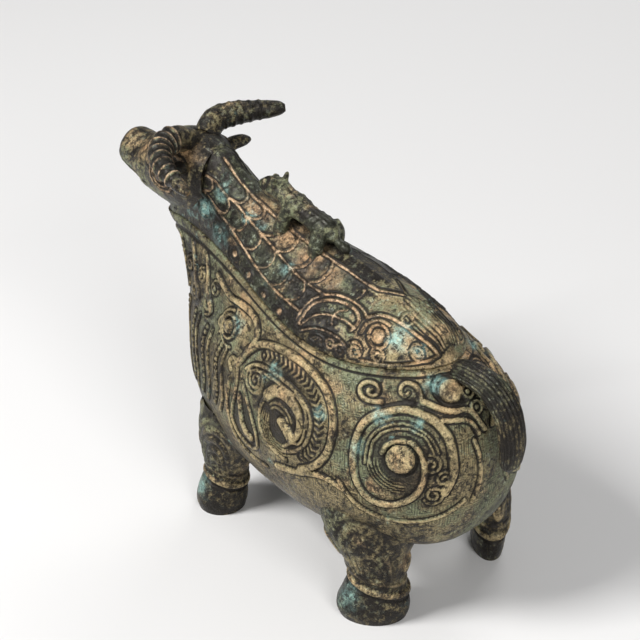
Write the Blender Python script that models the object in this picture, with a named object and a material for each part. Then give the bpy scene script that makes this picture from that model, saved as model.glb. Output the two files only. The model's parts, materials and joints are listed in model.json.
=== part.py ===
"""Ox-shaped bronze censer: a lidded vessel on four hooves, with a tiger as the lid's knob.

The ox faces -Y, its left side is towards +X and its hooves stand on Z = 0.
Every size is in millimetres and becomes metres where a mesh is finished.
"""

import math
from bisect import bisect
from collections import namedtuple

import bmesh
import bpy
from mathutils import Matrix, Vector

MM = 0.001

# Walls and fits
WALL = 3.0
LID_WALL = 2.6
FIT_GAP = 0.35
LID_SET_BACK = 0.9
FLANGE_CLEARANCE = 0.8
FLANGE_WALL = 1.8
FLANGE_DEPTH = 5.0
FLANGE_DEPTH_AT_SPOUT = 0.2
FLANGE_FADE = 0.22, 0.50

# Mesh fineness
RING_STEPS = 40
BODY_RINGS = 13
LID_STATIONS = 22
LID_ARCH_STEPS = 14
LEG_STEPS, LEG_SIDES = 12, 18
TAIL_STEPS, TAIL_SIDES = 12, 14
HEAD_STEPS, HEAD_SIDES = 16, 22
HORN_STEPS, HORN_SIDES = 16, 12
EAR_STEPS, EAR_SIDES = 8, 10
TIGER_STEPS, TIGER_SIDES = 18, 14
TIGER_LIMB_STEPS, TIGER_LIMB_SIDES = 6, 10
TIGER_EAR_STEPS, TIGER_EAR_SIDES = 4, 8
PAN_SIDES = 36
ROUND_BAR_SIDES = 12
KNOB_SIDES = 12
RULER_STEPS = 400
ACROSS_OX, ALONG_OX, UPRIGHT = Vector((1, 0, 0)), Vector((0, 1, 0)), Vector((0, 0, 1))
SHARP_ANGLE = math.radians(50)

# The whole ox is drawn about the middle of its belly, then moved so that its box is centred.
CENTRE_SHIFT_Y = -2.83

# One outline of the vessel, seen from above, at one height.
# neck and stern scale the outline's width at its front and rear ends, and a rump below 1 is squarer.
Level = namedtuple("Level", "z width front rear front_lift rear_lift neck stern rump")
BODY_LEVELS = (
    Level(27.0, 13.0, -17.0, 58.0, 0.0, 0.0, 0.90, 1.00, 0.85),
    Level(28.5, 24.5, -30.0, 69.0, 0.0, 0.0, 0.86, 1.00, 0.80),
    Level(35.0, 34.0, -39.0, 77.5, 0.0, 0.0, 0.82, 1.00, 0.76),
    Level(46.0, 39.5, -44.0, 82.0, 0.0, 0.0, 0.80, 1.00, 0.74),
    Level(58.0, 41.0, -47.0, 83.5, 0.0, 0.0, 0.78, 1.00, 0.75),
    Level(69.0, 39.0, -48.5, 82.5, 1.0, 1.0, 0.76, 1.02, 0.78),
    Level(79.0, 33.5, -51.5, 78.5, 3.0, 3.5, 0.72, 1.04, 0.85),
    Level(86.5, 28.0, -58.5, 71.0, 7.5, 4.5, 0.62, 1.08, 0.95),
    Level(90.0, 25.2, -67.0, 67.0, 11.8, 4.5, 0.50, 1.12, 1.00),
)
RIM = BODY_LEVELS[-1]
NECK_END, STERN_START = 0.10, 0.85
CHEST_ROUND = 0.72
ROUND_CHANGE = 0.3, 0.7
# The rim climbs towards the neck, and dips again by a share of that at the spout.
FRONT_LIFT_FADE = 0.15, 0.80
SPOUT_DIP, SPOUT_DIP_END = 0.25, 0.12
REAR_LIFT_POWER = 5.0
FLOOR_TOP = 46.0

# Main ridges of the cast ornament, drawn on the unrolled left wall as (girth, climb).
# Girth runs from the middle of the chest along the widest level, climb up the flank from the belly.
WIDEST_PLACE, FLANK_GIRTH = 4, 90.0
SHOULDER_RIDGE = (
    (61, 62), (64, 65.5), (69, 70.5), (75.5, 75), (83, 78.2), (91, 80.6), (98, 81.2), (103.5, 80),
    (107, 77.5), (109, 74.5), (110.5, 69), (111, 63.5), (110.5, 58), (108.5, 53), (104, 47.5), (98, 43.5),
)
SHOULDER_CURL = (
    (80.5, 61.5), (84, 64.5), (89, 65.5), (94, 64.3), (97, 61.5), (97.5, 58), (96.2, 55), (94, 52.6),
)
BROW_RIDGE = (
    (48.5, 83), (53, 81), (57, 80.2), (63.5, 81.5), (69.5, 82.2), (73.5, 81.4), (74, 78.5), (71, 73.2),
    (67, 69.5),
)
BELLY_RIDGE = (86, 38.5), (96, 41.5), (107, 45.3), (116, 43.7)
HAUNCH_SPIRAL = (
    (129, 60.5), (130, 62.5), (132, 64), (134.5, 64.7), (138, 64.3), (140.5, 62.3), (142.3, 58.8),
    (142.8, 54.8), (142, 50.5), (139.5, 46.3), (134, 42.8), (128, 42.2), (123.5, 44.5), (120.5, 49),
    (119.3, 55), (119.6, 61.5), (121, 66.5), (123.7, 70), (127.7, 72.5), (132.5, 74.3), (137, 75),
    (141, 74), (145, 71.8), (148, 68.7), (151, 64), (152.3, 58), (152, 53), (149.5, 47.5),
)
RUMP_RIDGE = (144.5, 77.5), (148, 75.3), (151, 73.8), (154.5, 72.8), (158, 72.6), (161, 71)
RIDGES = {
    "shoulder_ridge": (SHOULDER_RIDGE, 1.25),
    "shoulder_curl": (SHOULDER_CURL, 1.7),
    "brow_ridge": (BROW_RIDGE, 1.0),
    "belly_ridge": (BELLY_RIDGE, 1.1),
    "haunch_spiral": (HAUNCH_SPIRAL, 1.2),
    "rump_ridge": (RUMP_RIDGE, 1.0),
}
# Each knob: where it stands, its radius and its height.
KNOBS = {
    "haunch_knob": ((135, 59), 4.8, 1.2),
    "eye": ((55.5, 71.2), 2.5, 1.1),
    "curl_leaf": ((91.5, 54.8), 2.4, 1.1),
}
RELIEF_ROOT, RELIEF_FOOT = 1.6, 0.1
RIDGE_HEIGHT, RIDGE_TOP_SHARE = 0.9, 0.5
KNOB_TOP_SHARE = 0.75

# Height of the lid's crest along the ox, as (y, z).
LID_CROWN = (
    (-66.1, 100.2),
    (-63.0, 108.5),
    (-56.0, 121.0),
    (-47.0, 129.0),
    (-39.0, 129.8),
    (-31.0, 124.5),
    (-23.0, 121.0),
    (-8.0, 117.4),
    (8.0, 115.0),
    (24.0, 113.4),
    (36.0, 111.2),
    (46.0, 109.0),
    (54.0, 106.2),
    (61.0, 102.8),
    (66.1, 94.75),
)
# The lid's arch is round over the neck and sharpens to a crest behind it.
NECK_ARCH, BACK_ARCH = 1.0, 1.48
NECK_ARCH_END, BACK_ARCH_START = -48.0, -15.0

# Cross-sections of a limb: centre, then the two half-sizes across it.
Section = namedtuple("Section", "x y z side up")

# Legs: hoof, pastern and thigh, from the ground up. The thigh runs into the belly wall.
FRONT_LEG = (
    Section(18.0, -26.0, 0.0, 8.6, 8.2),
    Section(18.0, -26.0, 4.0, 9.2, 9.0),
    Section(17.6, -25.0, 11.0, 8.4, 8.2),
    Section(17.4, -23.5, 17.0, 7.2, 7.6),
    Section(18.2, -22.0, 26.0, 8.6, 9.6),
    Section(19.0, -19.5, 38.0, 9.5, 12.0),
    Section(19.0, -18.0, 46.0, 8.0, 11.0),
)
LEFT_REAR_LEG = (
    Section(23.5, 54.0, 0.0, 8.6, 11.4),
    Section(23.5, 54.0, 4.0, 9.4, 12.4),
    Section(23.2, 54.6, 11.0, 8.8, 10.8),
    Section(23.0, 55.2, 17.0, 8.4, 9.4),
    Section(23.4, 54.4, 25.0, 9.4, 11.4),
    Section(24.0, 52.0, 36.0, 11.0, 15.0),
    Section(23.0, 50.0, 46.0, 9.0, 14.0),
)
# The right rear leg was cast slimmer and stands wider than the left one.
RIGHT_REAR_LEG = (
    Section(-30.2, 57.0, 0.0, 5.2, 9.6),
    Section(-30.2, 57.2, 4.0, 5.8, 10.4),
    Section(-30.0, 58.0, 11.0, 6.0, 9.8),
    Section(-29.6, 58.6, 17.0, 6.4, 9.2),
    Section(-28.0, 57.6, 25.0, 8.0, 11.0),
    Section(-25.5, 54.0, 36.0, 10.5, 15.0),
    Section(-23.0, 50.0, 46.0, 9.0, 14.0),
)
FRONT_TOE_TURN, REAR_TOE_TURN = math.radians(12), math.radians(38)

# Tail, a broad band that springs from the rump and hangs clear of it
TAIL = (
    Section(0.0, 62.0, 90.0, 4.6, 3.2),
    Section(0.0, 72.0, 92.6, 4.8, 3.4),
    Section(0.0, 81.8, 91.4, 5.0, 3.6),
    Section(0.0, 88.4, 85.4, 5.0, 3.8),
    Section(0.0, 91.0, 76.5, 4.9, 3.6),
    Section(0.0, 91.0, 69.5, 4.4, 3.0),
    Section(0.0, 90.4, 64.5, 2.8, 1.6),
)

# Head, from the neck to the muzzle
HEAD = (
    Section(0.0, -42.0, 118.5, 9.5, 11.0),
    Section(0.0, -48.0, 118.0, 12.0, 13.6),
    Section(0.0, -54.0, 117.0, 12.8, 15.0),
    Section(0.0, -60.0, 115.2, 12.2, 14.6),
    Section(0.0, -66.0, 113.4, 10.8, 12.8),
    Section(0.0, -72.0, 112.4, 9.4, 10.8),
    Section(0.0, -78.0, 112.8, 8.2, 8.8),
    Section(0.0, -84.0, 113.8, 7.6, 7.6),
    Section(0.0, -87.2, 114.2, 6.8, 6.6),
    Section(0.0, -88.6, 114.3, 4.6, 4.4),
)
# Smoke leaves the hollow of the lid by a channel through the head, and then by the nostrils.
CHANNEL_RADIUS, CHANNEL_Z = 3.6, 112.8
CHANNEL_FRONT, CHANNEL_REAR = -82.0, -52.0
NOSTRIL_RADIUS, NOSTRIL_X, NOSTRIL_Z = 1.5, 2.9, 115.4
NOSTRIL_FRONT, NOSTRIL_REAR = -91.0, -79.0
# The cast horns are uneven: the left one droops at its tip, and the right one spreads.
LEFT_HORN = (
    Section(3.0, -53.0, 129.0, 4.2, 4.2),
    Section(9.0, -53.5, 132.4, 4.5, 4.4),
    Section(15.0, -53.0, 132.8, 4.6, 4.2),
    Section(20.5, -49.5, 132.2, 4.2, 3.8),
    Section(24.5, -43.0, 131.2, 3.5, 3.2),
    Section(26.0, -36.0, 129.4, 2.7, 2.5),
    Section(26.2, -31.0, 128.0, 1.9, 1.8),
    Section(26.2, -29.4, 127.6, 1.0, 0.9),
)
RIGHT_HORN = (
    Section(-3.0, -53.0, 129.0, 4.2, 4.2),
    Section(-9.0, -54.5, 132.4, 4.5, 4.4),
    Section(-15.0, -52.5, 133.2, 4.4, 4.0),
    Section(-20.5, -49.5, 133.4, 3.9, 3.5),
    Section(-25.0, -46.2, 133.6, 3.3, 3.0),
    Section(-28.5, -43.2, 133.9, 2.5, 2.3),
    Section(-30.0, -41.8, 134.1, 1.2, 1.1),
)
EAR = (
    Section(8.0, -50.0, 123.0, 2.4, 1.8),
    Section(12.5, -49.5, 124.0, 3.2, 2.0),
    Section(16.5, -48.5, 124.2, 2.8, 1.7),
    Section(18.8, -48.0, 124.0, 1.2, 0.8),
)

# Tiger, as heights above the lid's crown
TIGER = (
    Section(0.0, -22.5, 3.6, 1.7, 1.4),
    Section(0.0, -20.5, 4.2, 2.7, 2.4),
    Section(0.0, -17.0, 5.8, 3.9, 3.6),
    Section(0.0, -13.0, 6.6, 3.9, 3.4),
    Section(0.0, -9.5, 6.0, 3.6, 3.4),
    Section(0.0, -5.5, 5.6, 4.3, 4.0),
    Section(0.0, 0.0, 4.8, 3.9, 3.5),
    Section(0.0, 5.0, 4.4, 4.2, 3.8),
    Section(0.0, 9.0, 3.8, 4.2, 4.0),
    Section(0.0, 12.5, 2.6, 2.2, 2.2),
)
TIGER_FORELEG = (
    Section(3.0, -6.0, 5.5, 2.4, 2.6),
    Section(4.4, -7.0, 1.6, 2.2, 2.3),
    Section(5.0, -8.0, -2.0, 2.5, 2.7),
    Section(5.0, -8.2, -6.5, 2.5, 2.7),
)
TIGER_HINDLEG = (
    Section(3.0, 8.0, 4.6, 2.8, 3.2),
    Section(4.6, 8.6, 1.4, 2.4, 2.8),
    Section(5.0, 8.0, -2.0, 2.5, 2.7),
    Section(5.0, 7.8, -6.5, 2.5, 2.7),
)
TIGER_EAR = (
    Section(2.0, -13.5, 8.3, 1.3, 1.0),
    Section(3.0, -13.4, 11.0, 1.2, 0.8),
    Section(3.3, -13.3, 12.2, 0.5, 0.4),
)
TIGER_TAIL = (
    Section(0.0, 10.5, 3.4, 1.6, 1.6),
    Section(0.0, 14.5, 1.6, 1.5, 1.5),
    Section(0.0, 17.0, 1.2, 2.0, 2.0),
    Section(0.0, 18.8, 0.9, 0.9, 0.9),
)
# Rivets through the lid into the tiger's paws
RIVET_RADIUS, RIVET_HEAD_RADIUS, RIVET_HEAD = 1.0, 2.0, 1.2
RIVET_REACH = 2.6

# Incense pan, an oval dish on a foot that stands on the vessel's floor
PAN_CENTRE_Y, PAN_STRETCH = 20.0, 1.9
PAN_PROFILE = (
    (8.6, 30.5),
    (9.6, 30.5),
    (9.6, 34.0),
    (14.5, 37.5),
    (17.2, 46.0),
    (18.4, 56.0),
    (18.8, 58.0),
    (17.4, 58.0),
    (16.4, 56.0),
    (15.2, 46.5),
    (13.0, 39.8),
    (8.0, 36.5),
)

# The lid is lifted straight up by the tiger, about here along the ox.
LID_AXIS_Y = 0.0


def smoothstep(low, high, value):
    share = min(1.0, max(0.0, (value - low) / (high - low)))
    return share * share * (3.0 - 2.0 * share)


def through(rows, place):
    """A smooth curve through rows of numbers, read at a place from 0 to the last row."""
    last = len(rows) - 1
    step = min(int(place), last - 1)
    part = place - step
    before, start, end, after = (rows[min(max(step + k, 0), last)] for k in (-1, 0, 1, 2))
    return tuple(
        b + 0.5 * part * (c - a + part * (2 * a - 5 * b + 4 * c - d + part * (3 * (b - c) + d - a)))
        for a, b, c, d in zip(before, start, end, after)
    )


def level_height(level, y):
    """Height of a level's outline at y: the spout and the rump rise a little."""
    along = min(1.0, max(0.0, (y - level.front) / (level.rear - level.front)))
    dip = SPOUT_DIP * (1.0 - smoothstep(0.0, SPOUT_DIP_END, along))
    front_rise = level.front_lift * (1.0 - smoothstep(*FRONT_LIFT_FADE, along) - dip)
    return level.z + front_rise + level.rear_lift * along ** REAR_LIFT_POWER


def outline_point(level, turn):
    """Plan position on a level's outline: turn 0 is the front, half a turn is the rear."""
    along = (1.0 - math.cos(turn)) / 2.0
    taper = level.neck + (level.stern - level.neck) * smoothstep(NECK_END, STERN_START, along)
    roundness = CHEST_ROUND + (level.rump - CHEST_ROUND) * smoothstep(*ROUND_CHANGE, along)
    across = math.copysign(abs(math.sin(turn)) ** roundness, math.sin(turn))
    return level.width * across * taper, level.front + (level.rear - level.front) * along


def body_ring(level, depth=0.0, rise=0.0):
    """A ring of the wall at one level, moved in by depth and up by rise."""
    turns = [2.0 * math.pi * step / RING_STEPS for step in range(RING_STEPS)]
    plan = [outline_point(inset(level, depth), turn) for turn in turns]
    return [Vector((x, y, level_height(level, y) + rise)) for x, y in plan]


def inset(level, depth):
    return level._replace(width=level.width - depth, front=level.front + depth, rear=level.rear - depth)


def wall_point(place, turn):
    """A point of the outer wall: place counts levels up from the belly."""
    level = Level(*through(BODY_LEVELS, place))
    x, y = outline_point(level, turn)
    return Vector((x, y, level_height(level, y)))


def lengths(points):
    """How far each point lies along the line of points."""
    way = [0.0]
    for here, there in zip(points, points[1:]):
        way.append(way[-1] + (there - here).length)
    return way


def share_at(way, length):
    """The share of a measured line's steps that a length along it has covered."""
    step = min(max(bisect(way, length), 1), len(way) - 1)
    part = (length - way[step - 1]) / (way[step] - way[step - 1])
    return (step - 1 + part) / (len(way) - 1)


def wall_map():
    """A function that finds a point of the unrolled left wall, by girth and climb."""
    shares = [step / RULER_STEPS for step in range(RULER_STEPS + 1)]
    top = len(BODY_LEVELS) - 1
    girths = lengths([wall_point(WIDEST_PLACE, math.pi * share) for share in shares])
    flank = math.pi * share_at(girths, FLANK_GIRTH)
    climbs = lengths([wall_point(top * share, flank) for share in shares])

    def on_wall(girth, climb):
        return wall_point(top * share_at(climbs, climb), math.pi * share_at(girths, girth))

    return on_wall


def wall_directions(on_wall, girth, climb):
    """Rearward and outward directions of the wall."""
    rearward = on_wall(girth + 0.5, climb) - on_wall(girth - 0.5, climb)
    upward = on_wall(girth, climb + 0.5) - on_wall(girth, climb - 0.5)
    return rearward.normalized(), rearward.cross(upward).normalized()


def ridge_rings(on_wall, path, half_width):
    """Sections of a low ridge that follows a path and is rooted in the wall."""
    points = [on_wall(*spot) for spot in path]
    profile = (
        (1.0, -RELIEF_ROOT), (1.0, RELIEF_FOOT), (RIDGE_TOP_SHARE, RIDGE_HEIGHT),
        (-RIDGE_TOP_SHARE, RIDGE_HEIGHT), (-1.0, RELIEF_FOOT), (-1.0, -RELIEF_ROOT),
    )
    rings = []
    for step, point in enumerate(points):
        outward = wall_directions(on_wall, *path[step])[1]
        ahead = points[min(step + 1, len(points) - 1)] - points[max(step - 1, 0)]
        sideways = outward.cross(ahead).normalized() * half_width
        rings.append([point + sideways * across + outward * height for across, height in profile])
    return rings


def knob_rings(on_wall, spot, radius, height):
    """Rings of a low round boss that is rooted in the wall."""
    rearward, outward = wall_directions(on_wall, *spot)
    upward = outward.cross(rearward)
    turns = [2.0 * math.pi * step / KNOB_SIDES for step in range(KNOB_SIDES)]
    return [
        [
            on_wall(*spot) + (rearward * math.cos(turn) + upward * math.sin(turn)) * reach + outward * level
            for turn in turns
        ]
        for reach, level in ((radius, -RELIEF_ROOT), (radius, RELIEF_FOOT), (radius * KNOB_TOP_SHARE, height))
    ]


def inner_ring(level):
    """The same level on the inside of the wall: the floor is raised, the sides move in."""
    side_share = smoothstep(BODY_LEVELS[0].z, FLOOR_TOP, level.z)
    return body_ring(level, WALL * side_share, WALL * (1.0 - side_share))


def rim_height(y):
    return level_height(RIM, y)


def crown_height(y):
    """Height of the lid's top line at y."""
    for step, (start, end) in enumerate(zip(LID_CROWN, LID_CROWN[1:])):
        if start[0] <= y <= end[0]:
            return through(LID_CROWN, step + (y - start[0]) / (end[0] - start[0]))[1]
    return rim_height(y) + FIT_GAP


def arch_power(y):
    return NECK_ARCH + (BACK_ARCH - NECK_ARCH) * smoothstep(NECK_ARCH_END, BACK_ARCH_START, y)


def arch_point(half_width, y, edge, rise, share):
    """A point of the lid's arch at y: share 0 is its left edge, 1 its right edge."""
    turn = math.pi * share
    power = arch_power(y)
    across = math.copysign(abs(math.cos(turn)) ** power, math.cos(turn))
    return Vector((half_width * across, y, edge + rise * math.sin(turn) ** power))


def lid_outline(depth):
    """The rim's outline, drawn in by depth, as (half width, y) at each lid station."""
    level = inset(RIM, depth)
    turns = [math.pi * step / LID_STATIONS for step in range(LID_STATIONS + 1)]
    return [outline_point(level, turn) for turn in turns]


def lid_surface(x, y, depth, wall):
    """Height of the lid's outer or inner face over a point of its plan."""
    level = inset(RIM, depth)
    along = (y - level.front) / (level.rear - level.front)
    half_width = outline_point(level, math.acos(1.0 - 2.0 * along))[0]
    power = arch_power(y)
    across = (abs(x) / half_width) ** (1.0 / power)
    edge = rim_height(y) + FIT_GAP
    return edge + (crown_height(y) - wall - edge) * math.sqrt(1.0 - across * across) ** power


# Mesh helpers


def finish(name, bm, material=None):
    """Make a named object, in metres, from a bmesh drawn in millimetres."""
    bmesh.ops.recalc_face_normals(bm, faces=bm.faces)
    bmesh.ops.transform(bm, matrix=Matrix.Scale(MM, 4), verts=bm.verts)
    mesh = bpy.data.meshes.new(name)
    bm.to_mesh(mesh)
    bm.free()
    mesh.shade_smooth()
    mesh.set_sharp_from_angle(angle=SHARP_ANGLE)
    obj = bpy.data.objects.new(name, mesh)
    bpy.context.scene.collection.objects.link(obj)
    if material:
        mesh.materials.append(material)
    return obj


def strip(bm, lower, upper):
    """Quads between two rings of vertices of equal count."""
    for here in range(len(lower)):
        there = (here + 1) % len(lower)
        bm.faces.new((lower[here], lower[there], upper[there], upper[here]))


def stack(rings):
    """A closed bmesh over a stack of rings, with a flat face at each end."""
    bm = bmesh.new()
    loops = [[bm.verts.new(point) for point in ring] for ring in rings]
    for lower, upper in zip(loops, loops[1:]):
        strip(bm, lower, upper)
    bm.faces.new(loops[0])
    bm.faces.new(loops[-1])
    return bm


def sweep(sections, steps, sides, across=ACROSS_OX):
    """A closed limb along its sections, whose first half-size lies along across."""
    rings = []
    count = len(sections) - 1
    rows = [through(sections, count * step / steps) for step in range(steps + 1)]
    for step, (x, y, z, side, up) in enumerate(rows):
        ahead = Vector(rows[min(step + 1, steps)][:3])
        behind = Vector(rows[max(step - 1, 0)][:3])
        forward = (ahead - behind).normalized()
        upward = forward.cross(across).normalized()
        sideways = upward.cross(forward)
        turns = [2.0 * math.pi * k / sides for k in range(sides)]
        rings.append([
            Vector((x, y, z)) + sideways * side * math.cos(turn) + upward * up * math.sin(turn)
            for turn in turns
        ])
    return stack(rings)


def bar(radius, length, matrix):
    """A round bar along the matrix's Z axis, centred on its origin."""
    bm = bmesh.new()
    bmesh.ops.create_cone(
        bm, cap_ends=True, segments=ROUND_BAR_SIDES, radius1=radius, radius2=radius, depth=length,
        matrix=matrix
    )
    return bm


def pillar(centre, radius, low, high):
    """An upright round bar."""
    return bar(radius, high - low, Matrix.Translation((centre[0], centre[1], (low + high) / 2.0)))


def lying_bar(x, z, radius, front, rear):
    """A round bar that lies along the ox."""
    lay = Matrix.Rotation(math.radians(90), 4, "X")
    return bar(radius, rear - front, Matrix.Translation((x, (front + rear) / 2.0, z)) @ lay)


def mirrored(sections):
    return [section._replace(x=-section.x) for section in sections]


def guide(name, bm):
    """A helper shape for cutting or joining, which isn't a piece of the censer."""
    obj = finish(name, bm)
    obj.hide_render = True
    obj.display_type = "WIRE"
    return obj


def boolean(obj, other, operation):
    modifier = obj.modifiers.new(f"{operation.lower()} {other.name}", "BOOLEAN")
    modifier.operation = operation
    modifier.object = other
    return obj


def grown(name, source):
    """A copy of a shape, swollen by the gap that castings keep where they meet."""
    copy = bpy.data.objects.new(name, source.data)
    bpy.context.scene.collection.objects.link(copy)
    copy.hide_render = True
    copy.display_type = "WIRE"
    swell = copy.modifiers.new("swell", "DISPLACE")
    swell.mid_level = 0.0
    swell.strength = FIT_GAP * MM
    return copy


def empty(name, y, parent=None):
    """An empty on a joint's axis, y millimetres along the ox."""
    obj = bpy.data.objects.new(name, None)
    bpy.context.scene.collection.objects.link(obj)
    obj.parent = parent
    obj.location.y = y * MM
    return obj


def gather(axis):
    """Hang every object that has no parent yet from an axis, where it was drawn."""
    drawn = [obj for obj in bpy.data.objects if obj.type == "MESH" and not obj.parent]
    for obj in drawn:
        obj.parent = axis
        if axis.parent:
            obj.location.y = -axis.location.y


# Finishes


def bronze(name, colour, roughness):
    material = bpy.data.materials.new(name)
    material.use_nodes = True
    shader = material.node_tree.nodes["Principled BSDF"]
    shader.inputs["Base Color"].default_value = (*colour, 1.0)
    shader.inputs["Roughness"].default_value = roughness
    shader.inputs["Metallic"].default_value = 0.6
    return material


# Vessel


def body_levels():
    last = len(BODY_LEVELS) - 1
    return [Level(*through(BODY_LEVELS, last * step / BODY_RINGS)) for step in range(BODY_RINGS + 1)]


def vessel_shell():
    """The outer wall from floor to rim, then the inner wall from rim to floor."""
    outer = [body_ring(level) for level in body_levels()]
    inner = [inner_ring(level) for level in reversed(body_levels())]
    return stack(outer + inner)


def vessel_mass():
    """The vessel's outer form without its hollow."""
    return stack([body_ring(level) for level in body_levels()])


def add_relief(body):
    """Join the main ridges and knobs of the ornament to both flanks of the body."""
    on_wall = wall_map()
    forms = {name: ridge_rings(on_wall, *shape) for name, shape in RIDGES.items()}
    forms.update({name: knob_rings(on_wall, *shape) for name, shape in KNOBS.items()})
    for name, rings in forms.items():
        for side, sign in (("left", 1.0), ("right", -1.0)):
            placed = [[Vector((sign * point.x, point.y, point.z)) for point in ring] for ring in rings]
            boolean(body, guide(f"{side}_{name}", stack(placed)), "UNION")


def leg_solid(sections, toe_turn):
    """A leg of level oval sections, turned so that the toe points outwards."""
    rings = []
    count = len(sections) - 1
    for step in range(LEG_STEPS + 1):
        x, y, z, side, fore = through(sections, count * step / LEG_STEPS)
        turned = math.copysign(toe_turn, x)
        turns = [2.0 * math.pi * k / LEG_SIDES for k in range(LEG_SIDES)]
        splay = Matrix.Rotation(turned, 3, "Z")
        rings.append([
            Vector((x, y, z)) + splay @ Vector((side * math.cos(t), fore * math.sin(t), 0.0))
            for t in turns
        ])
    return stack(rings)


def lid_shell():
    """A domed cover: outer arch, seat on the rim, locating flange and inner arch."""
    bm = bmesh.new()
    flange_out = WALL + FLANGE_CLEARANCE
    flange_in = flange_out + FLANGE_WALL

    def edge(depth, drop):
        points = []
        for half_width, y in lid_outline(depth):
            along = (y - RIM.front) / (RIM.rear - RIM.front)
            share = smoothstep(*FLANGE_FADE, along)
            fall = FLANGE_DEPTH_AT_SPOUT + (FLANGE_DEPTH - FLANGE_DEPTH_AT_SPOUT) * share
            points.append(Vector((half_width, y, rim_height(y) + FIT_GAP - fall * drop)))
        return points

    def ring(points):
        left = [bm.verts.new(point) for point in points]
        right = [bm.verts.new((-point.x, point.y, point.z)) for point in points[-2:0:-1]]
        return left + right

    def dome(loop, points, wall):
        """Arch over the ring, station by station, from its left edge to its right edge."""
        rows = []
        for station in range(1, LID_STATIONS):
            base = points[station]
            rise = crown_height(base.y) - wall - base.z
            arch = [loop[station]]
            for step in range(1, LID_ARCH_STEPS):
                arch.append(bm.verts.new(arch_point(base.x, base.y, base.z, rise, step / LID_ARCH_STEPS)))
            arch.append(loop[-station])
            rows.append(arch)
        for front, rear in zip(rows, rows[1:]):
            for step in range(LID_ARCH_STEPS):
                bm.faces.new((front[step], front[step + 1], rear[step + 1], rear[step]))
        for step in range(LID_ARCH_STEPS):
            bm.faces.new((loop[0], rows[0][step + 1], rows[0][step]))
            bm.faces.new((loop[LID_STATIONS], rows[-1][step], rows[-1][step + 1]))

    outer_edge, inner_edge = edge(LID_SET_BACK, 0.0), edge(flange_in, 0.0)
    outer, inner = ring(outer_edge), ring(inner_edge)
    seat = ring(edge(flange_out, 0.0))
    lip, lip_inside = ring(edge(flange_out, 1.0)), ring(edge(flange_in, 1.0))
    dome(outer, outer_edge, 0.0)
    for lower, upper in zip((outer, seat, lip, lip_inside), (seat, lip, lip_inside, inner)):
        strip(bm, lower, upper)
    dome(inner, inner_edge, LID_WALL)
    return bm


def lid_mass():
    """The lid's outer form without its hollow, reaching down into the mouth."""
    rows = []
    for half_width, y in lid_outline(LID_SET_BACK)[1:-1]:
        edge = rim_height(y) + FIT_GAP
        rise = crown_height(y) - edge
        arch = [
            arch_point(half_width, y, edge, rise, step / LID_ARCH_STEPS)
            for step in range(LID_ARCH_STEPS + 1)
        ]
        left_foot = Vector((half_width, y, edge - FLANGE_DEPTH))
        right_foot = Vector((-half_width, y, edge - FLANGE_DEPTH))
        rows.append([left_foot, *arch, right_foot])
    return stack(rows)


def tiger_heights(sections):
    """Sections given above the lid's crown, set to their real height."""
    return [section._replace(z=section.z + crown_height(section.y)) for section in sections]


def tiger_feet():
    """Where each paw stands, by name."""
    feet = {}
    for end, sections in (("front", TIGER_FORELEG), ("rear", TIGER_HINDLEG)):
        for side, sign in (("left", 1.0), ("right", -1.0)):
            feet[f"{end}_{side}"] = Vector((sign * sections[2].x, sections[2].y, 0.0))
    return feet


def rivet_shank(foot, radius, reach):
    """The bar of a rivet, from inside the lid up into a paw."""
    hollow_edge = WALL + FLANGE_CLEARANCE + FLANGE_WALL
    inside = lid_surface(abs(foot.x) + RIVET_HEAD_RADIUS, foot.y, hollow_edge, LID_WALL)
    outside = lid_surface(foot.x, foot.y, LID_SET_BACK, 0.0)
    seat = inside - FIT_GAP
    return seat, pillar(foot, radius, seat - RIVET_HEAD / 2.0, outside + reach)


def build_vessel(finish_of):
    body = finish("vessel_body", vessel_shell(), finish_of["vessel"])
    add_relief(body)
    mass = guide("vessel_mass", vessel_mass())
    cutter = grown("vessel_mass_swollen", mass)
    legs = {
        "front_left_leg": (FRONT_LEG, FRONT_TOE_TURN),
        "front_right_leg": (mirrored(FRONT_LEG), FRONT_TOE_TURN),
        "rear_left_leg": (LEFT_REAR_LEG, REAR_TOE_TURN),
        "rear_right_leg": (RIGHT_REAR_LEG, REAR_TOE_TURN),
    }
    for name, (sections, toe_turn) in legs.items():
        leg = finish(name, leg_solid(sections, toe_turn), finish_of["legs"])
        boolean(leg, cutter, "DIFFERENCE")
    tail = finish("tail", sweep(TAIL, TAIL_STEPS, TAIL_SIDES), finish_of["vessel"])
    boolean(tail, cutter, "DIFFERENCE")


def build_pan(finish_of):
    rings = [
        [
            Vector((reach * math.cos(turn), PAN_CENTRE_Y + reach * PAN_STRETCH * math.sin(turn), z))
            for turn in (2.0 * math.pi * k / PAN_SIDES for k in range(PAN_SIDES))
        ]
        for reach, z in PAN_PROFILE
    ]
    finish("incense_pan", stack(rings), finish_of["pan"])


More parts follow.
